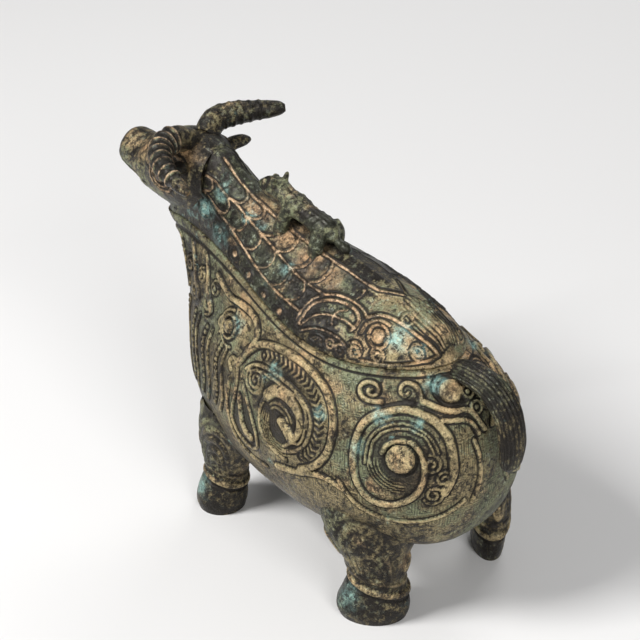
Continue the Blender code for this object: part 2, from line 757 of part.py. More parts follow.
def build_head(finish_of, lid, lid_cutter):
    head = finish("ox_head", sweep(HEAD, HEAD_STEPS, HEAD_SIDES), finish_of["lid"])
    mass = guide("head_mass", sweep(HEAD, HEAD_STEPS, HEAD_SIDES))
    cutter = grown("head_mass_swollen", mass)
    boolean(head, lid_cutter, "DIFFERENCE")
    channel = lying_bar(0.0, CHANNEL_Z, CHANNEL_RADIUS, CHANNEL_FRONT, CHANNEL_REAR)
    smoke_channel = guide("smoke_channel", channel)
    boolean(head, smoke_channel, "DIFFERENCE")
    boolean(lid, smoke_channel, "DIFFERENCE")
    for side, sign in (("left", 1.0), ("right", -1.0)):
        hole = lying_bar(sign * NOSTRIL_X, NOSTRIL_Z, NOSTRIL_RADIUS, NOSTRIL_FRONT, NOSTRIL_REAR)
        boolean(head, guide(f"{side}_nostril", hole), "DIFFERENCE")
    for side, horn_shape, change in (("left", LEFT_HORN, list), ("right", RIGHT_HORN, mirrored)):
        horn_mesh = sweep(horn_shape, HORN_STEPS, HORN_SIDES, UPRIGHT)
        horn = finish(f"{side}_horn", horn_mesh, finish_of["lid"])
        boolean(horn, cutter, "DIFFERENCE")
        ear_mesh = sweep(change(EAR), EAR_STEPS, EAR_SIDES, ALONG_OX)
        ear = finish(f"{side}_ear", ear_mesh, finish_of["lid"])
        boolean(ear, cutter, "DIFFERENCE")


def build_tiger(finish_of, lid, lid_cutter):
    trunk = sweep(tiger_heights(TIGER), TIGER_STEPS, TIGER_SIDES)
    tiger = finish("tiger_knob", trunk, finish_of["tiger"])
    limbs = {"tail": sweep(tiger_heights(TIGER_TAIL), TIGER_LIMB_STEPS, TIGER_LIMB_SIDES)}
    for side, change in (("left", list), ("right", mirrored)):
        for limb, sections in (("foreleg", TIGER_FORELEG), ("hindleg", TIGER_HINDLEG)):
            shape = change(tiger_heights(sections))
            limbs[f"{side}_{limb}"] = sweep(shape, TIGER_LIMB_STEPS, TIGER_LIMB_SIDES)
        shape = change(tiger_heights(TIGER_EAR))
        limbs[f"{side}_ear"] = sweep(shape, TIGER_EAR_STEPS, TIGER_EAR_SIDES)
    for name, bm in limbs.items():
        boolean(tiger, guide(f"tiger_{name}", bm), "UNION")
    boolean(tiger, lid_cutter, "DIFFERENCE")
    for name, foot in tiger_feet().items():
        seat, bore = rivet_shank(foot, RIVET_RADIUS + FIT_GAP, RIVET_REACH + FIT_GAP)
        hole = guide(f"rivet_hole_{name}", bore)
        boolean(tiger, hole, "DIFFERENCE")
        boolean(lid, hole, "DIFFERENCE")
        shank = rivet_shank(foot, RIVET_RADIUS, RIVET_REACH)[1]
        rivet = finish(f"knob_rivet_{name}", shank, finish_of["rivets"])
        head = guide(f"rivet_head_{name}", pillar(foot, RIVET_HEAD_RADIUS, seat - RIVET_HEAD, seat))
        boolean(rivet, head, "UNION")


def main():
    for obj in list(bpy.data.objects):
        bpy.data.objects.remove(obj)
    finish_of = {
        "vessel": bronze("vessel bronze", (0.20, 0.19, 0.12), 0.62),
        "legs": bronze("leg bronze", (0.12, 0.12, 0.08), 0.60),
        "lid": bronze("lid bronze", (0.16, 0.16, 0.11), 0.60),
        "tiger": bronze("tiger bronze", (0.17, 0.17, 0.12), 0.60),
        "rivets": bronze("rivet bronze", (0.22, 0.16, 0.09), 0.50),
        "pan": bronze("pan bronze", (0.20, 0.13, 0.07), 0.55),
    }
    censer = empty("censer", CENTRE_SHIFT_Y)
    build_vessel(finish_of)
    gather(censer)
    pan_lift = empty("pan_lift", PAN_CENTRE_Y, censer)
    build_pan(finish_of)
    gather(pan_lift)
    lid_lift = empty("lid_lift", LID_AXIS_Y, censer)
    lid = finish("lid_shell", lid_shell(), finish_of["lid"])
    lid_cutter = grown("lid_mass_swollen", guide("lid_mass", lid_mass()))
    build_head(finish_of, lid, lid_cutter)
    build_tiger(finish_of, lid, lid_cutter)
    gather(lid_lift)


main()
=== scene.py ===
# %% [markdown]
# # An ox-shaped bronze censer
# The solids of this censer are already at their real size, so this lesson only dresses them.
# Each casting gets a dense skin, drawn from the same outlines as its solid, and the ornament is
# raised on that skin as real relief. The patina then follows the relief, as it does on old bronze.
# First the solids are loaded, and the box of one of them later sets where the drawn outlines stand.

# %% Load the solids
import json
import math

import bmesh
import bpy
import numpy as np
from mathutils import Matrix, Vector, noise


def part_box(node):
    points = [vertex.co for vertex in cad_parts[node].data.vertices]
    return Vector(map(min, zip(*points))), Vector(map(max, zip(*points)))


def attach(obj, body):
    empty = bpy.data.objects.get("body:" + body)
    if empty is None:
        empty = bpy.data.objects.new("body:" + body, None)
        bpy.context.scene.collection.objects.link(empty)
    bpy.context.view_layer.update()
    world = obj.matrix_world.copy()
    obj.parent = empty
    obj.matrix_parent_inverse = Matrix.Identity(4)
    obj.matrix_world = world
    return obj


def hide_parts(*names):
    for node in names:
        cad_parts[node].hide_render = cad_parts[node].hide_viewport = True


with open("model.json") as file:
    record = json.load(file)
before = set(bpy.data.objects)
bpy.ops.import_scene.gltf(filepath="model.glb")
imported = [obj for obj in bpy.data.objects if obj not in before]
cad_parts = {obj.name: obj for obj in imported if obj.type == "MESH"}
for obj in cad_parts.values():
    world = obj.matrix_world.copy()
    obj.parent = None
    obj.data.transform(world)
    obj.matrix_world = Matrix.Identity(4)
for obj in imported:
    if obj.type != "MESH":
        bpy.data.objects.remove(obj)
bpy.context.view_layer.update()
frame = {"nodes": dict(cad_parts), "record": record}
MM = 0.001

# %% [markdown]
# ## Camera
# The camera looks down on the censer's left rear side, where most of its ornament can be seen. A long
# lens from far away keeps the body and the head at one scale, so the camera stands 0.8 m off.

# %% Camera
CAMERA_AZIMUTH = math.radians(135.1)
CAMERA_ELEVATION = math.radians(32.5)
CAMERA_DISTANCE = 0.8
CAMERA_TARGET = Vector((0.0, 0.00237, 0.0825))
SENSOR_WIDTH = 36.0
LENS = 134.4

away = Vector((
    math.sin(CAMERA_AZIMUTH) * math.cos(CAMERA_ELEVATION),
    -math.cos(CAMERA_AZIMUTH) * math.cos(CAMERA_ELEVATION),
    math.sin(CAMERA_ELEVATION),
))


def show(name, data):
    """A new object in the scene."""
    obj = bpy.data.objects.new(name, data)
    bpy.context.scene.collection.objects.link(obj)
    return obj


camera = show("camera", bpy.data.cameras.new("camera"))
camera.data.sensor_width = SENSOR_WIDTH
camera.data.lens = LENS
camera.location = CAMERA_TARGET + away * CAMERA_DISTANCE
camera.rotation_euler = away.to_track_quat("Z", "Y").to_euler()
bpy.context.scene.camera = camera
print("camera at", [round(value, 3) for value in camera.location])

# %% [markdown]
# ## Outlines of the castings
# A founder shapes the core by eye. Here one table of outlines, bottom to rim, gives the body, and
# one line of heights gives the crest of the lid. A smooth curve through the rows fills in the rest.
# All sizes are in millimetres until a mesh is finished.

# %% Outlines and curves
# Columns: z, width, front, rear, front lift, rear lift, neck, stern, rump.
BODY_LEVELS = np.array((
    (27.0, 13.0, -17.0, 58.0, 0.0, 0.0, 0.90, 1.00, 0.85),
    (28.5, 24.5, -30.0, 69.0, 0.0, 0.0, 0.86, 1.00, 0.80),
    (35.0, 34.0, -39.0, 77.5, 0.0, 0.0, 0.82, 1.00, 0.76),
    (46.0, 39.5, -44.0, 82.0, 0.0, 0.0, 0.80, 1.00, 0.74),
    (58.0, 41.0, -47.0, 83.5, 0.0, 0.0, 0.78, 1.00, 0.75),
    (69.0, 39.0, -48.5, 82.5, 1.0, 1.0, 0.76, 1.02, 0.78),
    (79.0, 33.5, -51.5, 78.5, 3.0, 3.5, 0.72, 1.04, 0.85),
    (86.5, 28.0, -58.5, 71.0, 7.5, 4.5, 0.62, 1.08, 0.95),
    (90.0, 25.2, -67.0, 67.0, 11.8, 4.5, 0.50, 1.12, 1.00),
))
RIM = BODY_LEVELS[-1]
RIM_FRONT, RIM_REAR = RIM[2], RIM[3]
WIDEST = 4
NECK_END, STERN_START = 0.10, 0.85
CHEST_ROUND = 0.72
ROUND_CHANGE = 0.3, 0.7
FRONT_LIFT_FADE, REAR_LIFT_POWER = (0.15, 0.80), 5.0
SPOUT_DIP, SPOUT_DIP_END = 0.25, 0.12
WALL, LID_WALL, FIT_GAP, LID_SET_BACK = 3.0, 2.6, 0.35, 0.9
FLOOR_TOP = 46.0
LEFT, RIGHT = np.array((1.0, 1.0, 1.0)), np.array((-1.0, 1.0, 1.0))

# The outlines are drawn about the belly's middle, and the solids say how far that was moved.
SHIFT_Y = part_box("vessel_body")[0].y / MM - RIM_FRONT


def smoothstep(low, high, value):
    share = np.clip((value - low) / (high - low), 0.0, 1.0)
    return share * share * (3.0 - 2.0 * share)


def fade(low, high, value):
    """One up to low and nothing beyond high, the other way round from smoothstep."""
    return 1.0 - smoothstep(low, high, value)


def through(rows, place):
    """A smooth curve through rows of numbers, read at places from 0 to the last row."""
    rows = np.asarray(rows, float)
    place = np.asarray(place, float)
    last = len(rows) - 1
    step = np.clip(place.astype(int), 0, last - 1)
    part = (place - step)[..., None]
    a, b, c, d = (rows[np.clip(step + k, 0, last)] for k in (-1, 0, 1, 2))
    return b + 0.5 * part * (c - a + part * (2 * a - 5 * b + 4 * c - d + part * (3 * (b - c) + d - a)))


def curve_at(table, y):
    """A smooth curve through rows of (y, value), read at y."""
    table = np.asarray(table, float)
    return through(table, np.interp(y, table[:, 0], np.arange(len(table))))[..., 1]


def way_along(points):
    """Distance along a line of points, from 0 at its start."""
    steps = np.linalg.norm(np.diff(points, axis=0), axis=1)
    return np.concatenate([[0.0], np.cumsum(steps)])


def read_at(even, way, rows):
    """Rows of numbers that are known at ways along a line, read at other ways."""
    return np.stack([np.interp(even, way, column) for column in rows.T], -1)


def ripple(way, pitch):
    """A wave that is one at every pitch and nothing halfway between."""
    return 0.5 + 0.5 * np.cos(2.0 * math.pi * way / pitch)


def lift(front_lift, rear_lift, share):
    """How far an outline climbs towards the neck and the rump. It dips again at the spout."""
    dip = SPOUT_DIP * fade(0.0, SPOUT_DIP_END, share)
    climb = front_lift * (fade(*FRONT_LIFT_FADE, share) - dip)
    return climb + rear_lift * share ** REAR_LIFT_POWER


def wall_point(level, turn, depth=0.0):
    """A point of the wall: turn 0 is the chest, half a turn the rump; depth goes into the wall."""
    z, width, front, rear, front_lift, rear_lift, neck, stern, rump = np.moveaxis(level, -1, 0)
    along = (1.0 - np.cos(turn)) / 2.0
    taper = neck + (stern - neck) * smoothstep(NECK_END, STERN_START, along)
    roundness = CHEST_ROUND + (rump - CHEST_ROUND) * smoothstep(*ROUND_CHANGE, along)
    sine = np.sin(turn)
    x = (width - depth) * np.sign(sine) * np.abs(sine) ** roundness * taper
    y = front + depth + (rear - front - 2.0 * depth) * along
    share = np.clip((y - front) / (rear - front), 0.0, 1.0)
    return np.stack([x, y, z + lift(front_lift, rear_lift, share)], -1)


SAMPLES = 4001
half_turn = np.linspace(0.0, math.pi, SAMPLES)
widest_ring = wall_point(np.broadcast_to(BODY_LEVELS[WIDEST], (SAMPLES, len(RIM))), half_turn)
girth_of_turn = way_along(widest_ring)
HALF_GIRTH = girth_of_turn[-1]
FLANK_GIRTH = 90.0
places = np.linspace(0.0, len(BODY_LEVELS) - 1.0, SAMPLES)
flank_turn = np.interp(FLANK_GIRTH, girth_of_turn, half_turn)
climb_of_place = way_along(wall_point(through(BODY_LEVELS, places), np.full(SAMPLES, flank_turn)))
RIM_CLIMB = climb_of_place[-1]


def on_wall(girth, climb):
    """A point of the body: girth runs from the chest round the left side, climb from belly to rim."""
    turn = np.interp(girth, girth_of_turn, half_turn)
    place = np.interp(climb, climb_of_place, places)
    return wall_point(through(BODY_LEVELS, place), turn)


print("half girth %.1f mm, rim at %.1f mm up the wall" % (HALF_GIRTH, RIM_CLIMB))

# %% [markdown]
# ## Skins
# A cast surface with ornament needs many small faces in an even spacing. A bmesh grid gives those,
# and each of its vertices is then moved to its place on the casting by a formula. Seams are welded and
# open ends filled afterwards, so every skin is closed. Masks stay on the vertices for the patina: how
# far the metal is raised or cut away, where plain ground lies, where the metal is bare, where painted
# shade darkens it and painted light lightens it, and where earth or copper salts lie thick.

# %% Grids into skins
TINY = 1e-9


def surface_normals(points):
    """Outward directions over a grid of points, from its rows and columns."""
    along = np.gradient(points, axis=0)
    across = np.gradient(points, axis=1)
    across[:, 0] = across[:, -1] = points[:, 1] - points[:, -2]
    normal = np.cross(across, along)
    length = np.linalg.norm(normal, axis=2, keepdims=True)
    return normal / np.maximum(length, TINY)


def lumps(points, size, seed):
    """Soft unevenness of a cast surface, from -1 to 1, with bumps about size millimetres wide."""
    offset = Vector((seed * 17.0, seed * 5.0, seed * 29.0))
    return np.array([noise.noise(Vector(point) / size + offset) for point in points])


def wear(points, seed, *layers):
    """Unevenness of several sizes on top of each other, each layer given as (height, size)."""
    return sum(height * lumps(points, size, seed + k) for k, (height, size) in enumerate(layers))


BLOTCH_GRAIN, BLOTCH_RAGGEDNESS = 3.2, 0.5
BLOTCH_EDGE = 0.1, 1.2


def blotches(points, spots, seed):
    """Ragged patches round a few spots, each given as (centre, radius), from 0 to 1."""
    share = np.zeros(points.shape[:-1])
    ragged = lumps(points.reshape(-1, 3), BLOTCH_GRAIN, seed).reshape(share.shape)
    for centre, radius in spots:
        distance = np.linalg.norm(points - centre, axis=-1) / radius + BLOTCH_RAGGEDNESS * ragged
        share = np.maximum(share, fade(*BLOTCH_EDGE, distance))
    return share


def paint(mesh, name, values):
    layer = mesh.attributes.new(name, "FLOAT", "POINT")
    layer.data.foreach_set("value", np.asarray(values, np.float32))


def place_object(name, mesh):
    """Move a finished mesh from drawn millimetres into the frame and show it."""
    mesh.transform(Matrix.Scale(MM, 4) @ Matrix.Translation((0.0, SHIFT_Y, 0.0)))
    mesh.shade_smooth()
    return show(name, mesh)


def mesh_of(bm, name):
    """A new mesh from a bmesh that is done with."""
    mesh = bpy.data.meshes.new(name)
    bm.to_mesh(mesh)
    bm.free()
    return mesh


WELD = 0.004


def close_mesh(mesh):
    """Weld seams and poles, fill open ends, and point the faces outwards."""
    bm = bmesh.new()
    bm.from_mesh(mesh)
    bmesh.ops.remove_doubles(bm, verts=bm.verts, dist=WELD)
    bmesh.ops.dissolve_degenerate(bm, edges=bm.edges, dist=WELD)
    open_edges = [edge for edge in bm.edges if edge.is_boundary]
    filled = bmesh.ops.holes_fill(bm, edges=open_edges, sides=0)
    for edge in {edge for face in filled["faces"] for edge in face.edges}:
        edge.smooth = False
    bmesh.ops.recalc_face_normals(bm, faces=bm.faces)
    bm.to_mesh(mesh)
    bm.free()


def grid_mesh(name, points, masks, chart=None):
    """A mesh from a bmesh grid whose vertices move to points; chart holds its pattern coordinates."""
    if chart is None:
        chart = np.zeros((*points.shape[:2], 2))
    rows, columns = points.shape[0] - 1, points.shape[1] - 1
    bm = bmesh.new()
    bmesh.ops.create_grid(bm, x_segments=columns, y_segments=rows, size=0.5)
    mesh = mesh_of(bm, name)
    flat = np.empty(len(mesh.vertices) * 3)
    mesh.vertices.foreach_get("co", flat)
    flat = flat.reshape(-1, 3)
    order = np.lexsort((flat[:, 0], np.round((flat[:, 1] + 0.5) * rows)))
    moved = np.empty_like(flat)
    moved[order] = points.reshape(-1, 3)
    mesh.vertices.foreach_set("co", moved.ravel())
    for mask, values in masks.items():
        spread = np.empty(len(flat))
        spread[order] = values.ravel()
        paint(mesh, mask, spread)
    corner = np.empty(len(mesh.loops), int)
    mesh.loops.foreach_get("vertex_index", corner)
    spread = np.empty((len(flat), 2))
    spread[order] = chart.reshape(-1, 2)
    uv_layer = mesh.uv_layers.new(name="chart")
    uv_layer.data.foreach_set("uv", spread[corner].ravel())
    close_mesh(mesh)
    return mesh


# %% [markdown]
# ## Relief
# On the real piece the ornament was cut into the mould, so lines stand up with a crisp edge and a
# little trench beside them. A relief object holds three heights over a skin: broad form, ridges and
# cuts. Each stroke of the ornament is a path on the surface, and its section is drawn by the
# distance of every nearby vertex from that path. Strokes that cross take the greater height, so their
# order doesn't matter.

# %% Strokes in relief
# How far a path may float above the surface, and the heights at which the patina's masks are full.
FLOAT = 2.4
FULLY_RAISED, FULLY_SUNK = 0.6, 0.4
CLEAR_OF_CUT, CLEAR_OF_SHADE = 0.3, 0.2
# A line is flat on this share of its top. It swells and fades by these shares, over these lengths.
FLAT_TOP = 0.62
SWELL_SHARE, FADE_SHARE = 0.16, 0.30
SWELL_LENGTH, FADE_LENGTH = 4.5, 11.0
TRENCH_REACH = 1.7
EVERYWHERE, FAR = slice(None), 1e9


class Relief:
    """Heights in millimetres over the vertices of one skin."""

    def __init__(self, points, normals, seed):
        self.shape = points.shape[:2]
        self.points = points.reshape(-1, 3)
        self.normals = normals.reshape(-1, 3)
        count = len(self.points)
        self.form, self.ridge, self.cut = np.zeros(count), np.zeros(count), np.zeros(count)
        self.claimed, self.shaded = np.zeros(count), np.zeros(count)
        # A hand-cut line swells and fades on its way.
        self.wander = lumps(self.points, SWELL_LENGTH, seed)
        self.fading = lumps(self.points, FADE_LENGTH, seed + 1)

    def nearby(self, low, high):
        inside = (self.points >= low) & (self.points <= high)
        return np.flatnonzero(inside.all(axis=1))

    def along(self, path, reach):
        """Vertices near a path, with their distance from it, signed side and way along it.

        The distance is measured across the surface, so a path may float a little above it.
        """
        picked = self.nearby(path.min(0) - reach - FLOAT, path.max(0) + reach + FLOAT)
        places, outward = self.points[picked], self.normals[picked]
        run = np.diff(path, axis=0)
        length = np.maximum(np.linalg.norm(run, axis=1), TINY)
        way = way_along(path)
        best = np.full(len(picked), FAR)
        side, travel = np.zeros(len(picked)), np.zeros(len(picked))
        for k, start in enumerate(path[:-1]):
            offset = places - start
            share = np.clip(offset @ run[k] / length[k] ** 2, 0.0, 1.0)
            rest = offset - share[:, None] * run[k]
            above = (rest * outward).sum(1)
            distance = np.sqrt(np.maximum((rest * rest).sum(1) - above * above, 0.0))
            distance[np.abs(above) > FLOAT] = FAR
            closer = distance < best
            best[closer] = distance[closer]
            across = np.cross(outward[closer], run[k])
            side[closer] = np.sign((across * rest[closer]).sum(1)) * distance[closer]
            travel[closer] = way[k] + share[closer] * length[k]
        near = best < reach
        return picked[near], best[near], side[near], travel[near] / way[-1], way[-1]

    def raise_to(self, picked, height):
        self.ridge[picked] = np.maximum(self.ridge[picked], height)

    def sink_to(self, picked, depth):
        self.cut[picked] = np.maximum(self.cut[picked], depth)

    def claim(self, picked, strength):
        """Keep the ground pattern away from a motif."""
        self.claimed[picked] = np.maximum(self.claimed[picked], strength)

    def line(self, path, width=1.2, height=0.5, trench=0.35, end_width=None):
        """A raised line with a narrow trench on each side. Its width may change towards the end."""
        end_width = end_width or width
        picked, distance, _, share, _ = self.along(path, FLAT_TOP * max(width, end_width) + TRENCH_REACH)
        half = 0.5 * (width + (end_width - width) * share)
        half = half * (1.0 + SWELL_SHARE * self.wander[picked])
        tall = height * (1.0 + FADE_SHARE * self.fading[picked])
        self.raise_to(picked, tall * fade(FLAT_TOP * half, half + 0.12, distance))
        beside = smoothstep(half - 0.1, half + 0.2, distance) * fade(half + 0.3, half + 1.0, distance)
        deep = trench * np.clip(1.0 + 0.9 * self.fading[picked] - 0.5 * self.wander[picked], 0.2, 1.6)
        self.sink_to(picked, deep * beside)
        self.claim(picked, fade(half + 0.4, half + 1.1, distance))

    def groove(self, path, width=1.0, depth=0.5):
        half = width / 2.0
        picked, distance, _, _, _ = self.along(path, half + 0.8)
        self.sink_to(picked, depth * fade(0.4 * half, half + 0.4, distance))
        self.claim(picked, fade(half, half + 0.8, distance))

    def band(self, path, half_width, count, height=0.4):
        """Parallel lines that run along a path."""
        picked, distance, side, share, _ = self.along(path, half_width + 0.3)
        wave = 0.5 - 0.5 * np.cos(2.0 * math.pi * count * (side + half_width) / (2.0 * half_width))
        inside = fade(half_width - 0.2, half_width + 0.3, distance)
        inside *= smoothstep(0.0, 0.15, share) * fade(0.85, 1.0, share)
        self.raise_to(picked, height * wave ** 1.5 * inside)
        self.sink_to(picked, height * (1.0 - wave) * inside)
        self.claim(picked, inside)

    def beads(self, path, pitch=2.4, radius=1.0, height=0.6, trench=0.4):
        """A row of round beads in a sunk channel."""
        picked, distance, side, share, total = self.along(path, radius + 0.9)
        step = total / max(round(total / pitch), 1)
        ahead = share * total
        ahead = ahead - np.round(ahead / step) * step
        from_bead = np.hypot(ahead, side) * (1.0 + 0.15 * self.wander[picked])
        self.raise_to(picked, height * np.sqrt(np.clip(1.0 - (from_bead / radius) ** 2, 0.0, 1.0)))
        channel = fade(radius, radius + 0.9, distance)
        self.sink_to(picked, trench * channel * smoothstep(0.7 * radius, 1.1 * radius, from_bead))
        self.claim(picked, channel)

    def feathers(self, path, half_width, pitch=1.9, slant=0.8, height=0.45):
        """Short slanting barbs on both sides of a path."""
        picked, distance, side, share, total = self.along(path, half_width + 0.3)
        wave = ripple(share * total + slant * np.abs(side), pitch)
        inside = fade(half_width - 0.4, half_width + 0.3, distance)
        self.raise_to(picked, 0.6 * height * wave * inside)
        self.sink_to(picked, height * (1.0 - 0.6 * wave) * inside)
        self.claim(picked, inside)

    def spread(self, centre, reach):
        """Vertices near a spot, with their distance from it across the surface."""
        picked = self.nearby(centre - reach - FLOAT, centre + reach + FLOAT)
        offset = self.points[picked] - centre
        above = (offset * self.normals[picked]).sum(1)
        distance = np.sqrt(np.maximum((offset * offset).sum(1) - above * above, 0.0))
        near = (np.abs(above) < FLOAT) & (distance < reach)
        return picked[near], distance[near]

    def dome(self, centre, radius, height):
        """A round swelling of the surface."""
        picked, distance = self.spread(centre, radius)
        self.form[picked] += height * (1.0 - (distance / radius) ** 2) ** 0.8
        self.claim(picked, fade(0.9 * radius, radius, distance))

    def shade(self, centre, reach, strength):
        """Leave the ground round a motif dark, where no rubbing reached it."""
        picked, distance = self.spread(centre, reach)
        ragged = distance * (1.0 + 0.25 * self.fading[picked])
        self.shaded[picked] = np.maximum(self.shaded[picked], strength * fade(0.7 * reach, reach, ragged))

    def knob(self, centre, radius, height, trench=0.6, flatness=2.0):
        """A raised boss in a sunk ring; a higher flatness gives it a flatter top."""
        picked, distance = self.spread(centre, radius + 1.6)
        self.raise_to(picked, height * np.sqrt(np.clip(1.0 - (distance / radius) ** flatness, 0.0, 1.0)))
        inner = smoothstep(0.85 * radius, radius + 0.2, distance)
        outer = fade(radius + 0.6, radius + 1.6, distance)
        self.sink_to(picked, trench * inner * outer)
        self.claim(picked, outer)

    def finished(self, keep):
        """Points moved out by the relief, and masks for the patina. keep fades the relief out at edges."""
        keep = keep.ravel()
        cut = self.cut * np.clip(1.0 - self.ridge / CLEAR_OF_CUT, 0.0, 1.0)
        height = (self.form + self.ridge - cut) * keep
        points = self.points + self.normals * height[:, None]
        in_shade = self.shaded * np.clip(1.0 - self.ridge / CLEAR_OF_SHADE, 0.0, 1.0)
        masks = {
            "raised": np.clip(self.ridge / FULLY_RAISED, 0.0, 1.0) * keep,
            "hollow": np.maximum(np.clip(cut / FULLY_SUNK, 0.0, 1.0), in_shade) * keep,
            "ground": np.clip(1.0 - self.claimed, 0.0, 1.0) * keep,
        }
        shaped = {name: value.reshape(self.shape) for name, value in masks.items()}
        return points.reshape(*self.shape, 3), shaped


PATH_SPACING = 0.5


def curve(points):
    """A smooth path through a few points of a drawing, as a row of close points."""
    points = np.asarray(points, float)
    count = max(8, int(way_along(points)[-1] / PATH_SPACING))
    return through(points, np.linspace(0.0, len(points) - 1.0, count))


def spiral(centre, start, end, angle, turns):
    """A spiral in a drawing, from radius start to radius end, beginning at angle in degrees."""
    length = math.pi * (start + end) * abs(turns)
    share = np.linspace(0.0, 1.0, max(16, int(length / PATH_SPACING)))
    radius = start + (end - start) * share
    turn = math.radians(angle) + 2.0 * math.pi * turns * share
    return np.stack([centre[0] + radius * np.cos(turn), centre[1] + radius * np.sin(turn)], -1)


def ring(centre, radius):
    return spiral(centre, radius, radius, 0.0, 1.0)


print("relief tools ready")

# %% [markdown]
# ## Body
# The body is one hollow casting. Its skin runs from the middle of the belly up the outside, over the
# rim and down the inside to the floor. It is made in two halves that meet in the middle of the chest and
# of the rump, as the halves of the mould did, so that each mesh can hold finer faces. The ornament is
# drawn on an unrolled wall: first the distance from the chest, then the distance up from the belly, both
# in millimetres.

# %% Body skin
BODY_COLUMNS = 424
BELLY_ROWS, OUTER_ROWS, INNER_ROWS, FLOOR_ROWS = 7, 196, 16, 5
LIP_ROUND = 0.5
# The lip, as (depth into the wall, drop below the rim).
LIP = ((0.12, 0.15), (0.5, 0.0), (WALL - 0.5, 0.0), (WALL - 0.12, 0.15), (WALL, 0.5))
BRIGHT_LIP_ROWS = 3
SOOT = 0.8
BELLY_MIDDLE_Y = 20.5


def body_rows():
    """One row of the body after another, as (place, depth, rise, shrink)."""
    rows = [(0.0, 0.0, 0.0, shrink) for shrink in np.linspace(0.02, 0.9, BELLY_ROWS)]
    for climb in np.linspace(0.0, RIM_CLIMB - LIP_ROUND, OUTER_ROWS):
        rows.append((np.interp(climb, climb_of_place, places), 0.0, 0.0, 1.0))
    top = places[-1]
    for depth, drop in LIP:
        rows.append((top, depth, -drop, 1.0))
    for place in np.linspace(top, 0.0, INNER_ROWS)[1:]:
        side_share = smoothstep(BODY_LEVELS[0][0], FLOOR_TOP, through(BODY_LEVELS, place)[0])
        rows.append((place, WALL * side_share, WALL * (1.0 - side_share), 1.0))
    rows += [(0.0, 0.0, WALL, shrink) for shrink in np.linspace(0.8, 0.02, FLOOR_ROWS)]
    return np.array(rows)


def body_grid():
    """The left half of the body, from the middle of the chest to the middle of the rump."""
    place, depth, rise, shrink = body_rows().T[:, :, None]
    girth = np.linspace(0.0, HALF_GIRTH, BODY_COLUMNS + 1)
    turn = np.interp(girth, girth_of_turn, half_turn)[None, :]
    level = through(BODY_LEVELS, np.broadcast_to(place, (len(place), turn.shape[1])))
    points = wall_point(level, np.broadcast_to(turn, level.shape[:2]), depth)
    points[..., 2] += rise
    points[..., 0] *= shrink
    points[..., 1] = BELLY_MIDDLE_Y + (points[..., 1] - BELLY_MIDDLE_Y) * shrink
    climb = np.interp(place, places, climb_of_place) * np.ones_like(turn)
    return points, np.stack([girth * np.ones_like(place), climb], -1)


def wall_path(*points):
    """A smooth path over the wall through points of its unrolled drawing."""
    drawing = curve(points)
    return on_wall(drawing[:, 0], drawing[:, 1])


class Patch:
    """A small flat sheet that touches a surface, for rings and spirals in their true shape."""

    def __init__(self, centre, rearward, upward):
        self.centre = centre
        self.rearward = rearward / np.linalg.norm(rearward)
        upward = upward - self.rearward * (upward @ self.rearward)
        self.upward = upward / np.linalg.norm(upward)

    def draw(self, drawing):
        return self.centre + drawing[:, :1] * self.rearward + drawing[:, 1:] * self.upward


def wall_patch(girth, climb):
    corners = on_wall(np.array((girth, girth + 0.5, girth)), np.array((climb, climb, climb + 0.5)))
    return Patch(corners[0], corners[1] - corners[0], corners[2] - corners[0])


body_points, body_chart = body_grid()
print("body grid", body_points.shape)

# %% [markdown]
# ### Ornament of the body
# The shoulder carries a feathered scroll that rolls into a broad curl, and the haunch one great spiral
# that winds out of a knob. Between them lie hooks, an eye on the neck, loops and bead rows on the chest.
# The main ridges stand on the solid too, so their points are the same there. The fine ones are drawn here
# alone. Tables hold what is drawn in one way, and short functions draw what needs a rule of its own.

# %% Ornament of the body
SHOULDER_RIDGE = (
    (61, 62), (64, 65.5), (69, 70.5), (75.5, 75), (83, 78.2), (91, 80.6), (98, 81.2), (103.5, 80),
    (107, 77.5), (109, 74.5), (110.5, 69), (111, 63.5), (110.5, 58), (108.5, 53), (104, 47.5), (98, 43.5),
)
SHOULDER_CURL = (
    (80.5, 61.5), (84, 64.5), (89, 65.5), (94, 64.3), (97, 61.5), (97.5, 58), (96.2, 55), (94, 52.6),
)
SHOULDER_LEAF = ((88.5, 56.5), (91.5, 54.8), (94, 52.8))
BROW_RIDGE = (
    (48.5, 83), (53, 81), (57, 80.2), (63.5, 81.5), (69.5, 82.2), (73.5, 81.4), (74, 78.5), (71, 73.2),
    (67, 69.5),
)
BELLY_RIDGE = ((86, 38.5), (96, 41.5), (107, 45.3), (116, 43.7))
HAUNCH_SPIRAL = (
    (129, 60.5), (130, 62.5), (132, 64), (134.5, 64.7), (138, 64.3), (140.5, 62.3), (142.3, 58.8),
    (142.8, 54.8), (142, 50.5), (139.5, 46.3), (134, 42.8), (128, 42.2), (123.5, 44.5), (120.5, 49),
    (119.3, 55), (119.6, 61.5), (121, 66.5), (123.7, 70), (127.7, 72.5), (132.5, 74.3), (137, 75),
    (141, 74), (145, 71.8), (148, 68.7), (151, 64), (152.3, 58), (152, 53), (149.5, 47.5),
)
HAUNCH_KNOB, HAUNCH_KNOB_RADIUS = (135, 59), 4.8
RUMP_RIDGE = (
    (144.5, 77.5), (148, 75.3), (151, 73.8), (154.5, 72.8), (158, 72.6), (161, 71), (163.5, 67.6), (166, 64),
)
EYE, EYE_RADIUS = (55.5, 71.2), 2.5

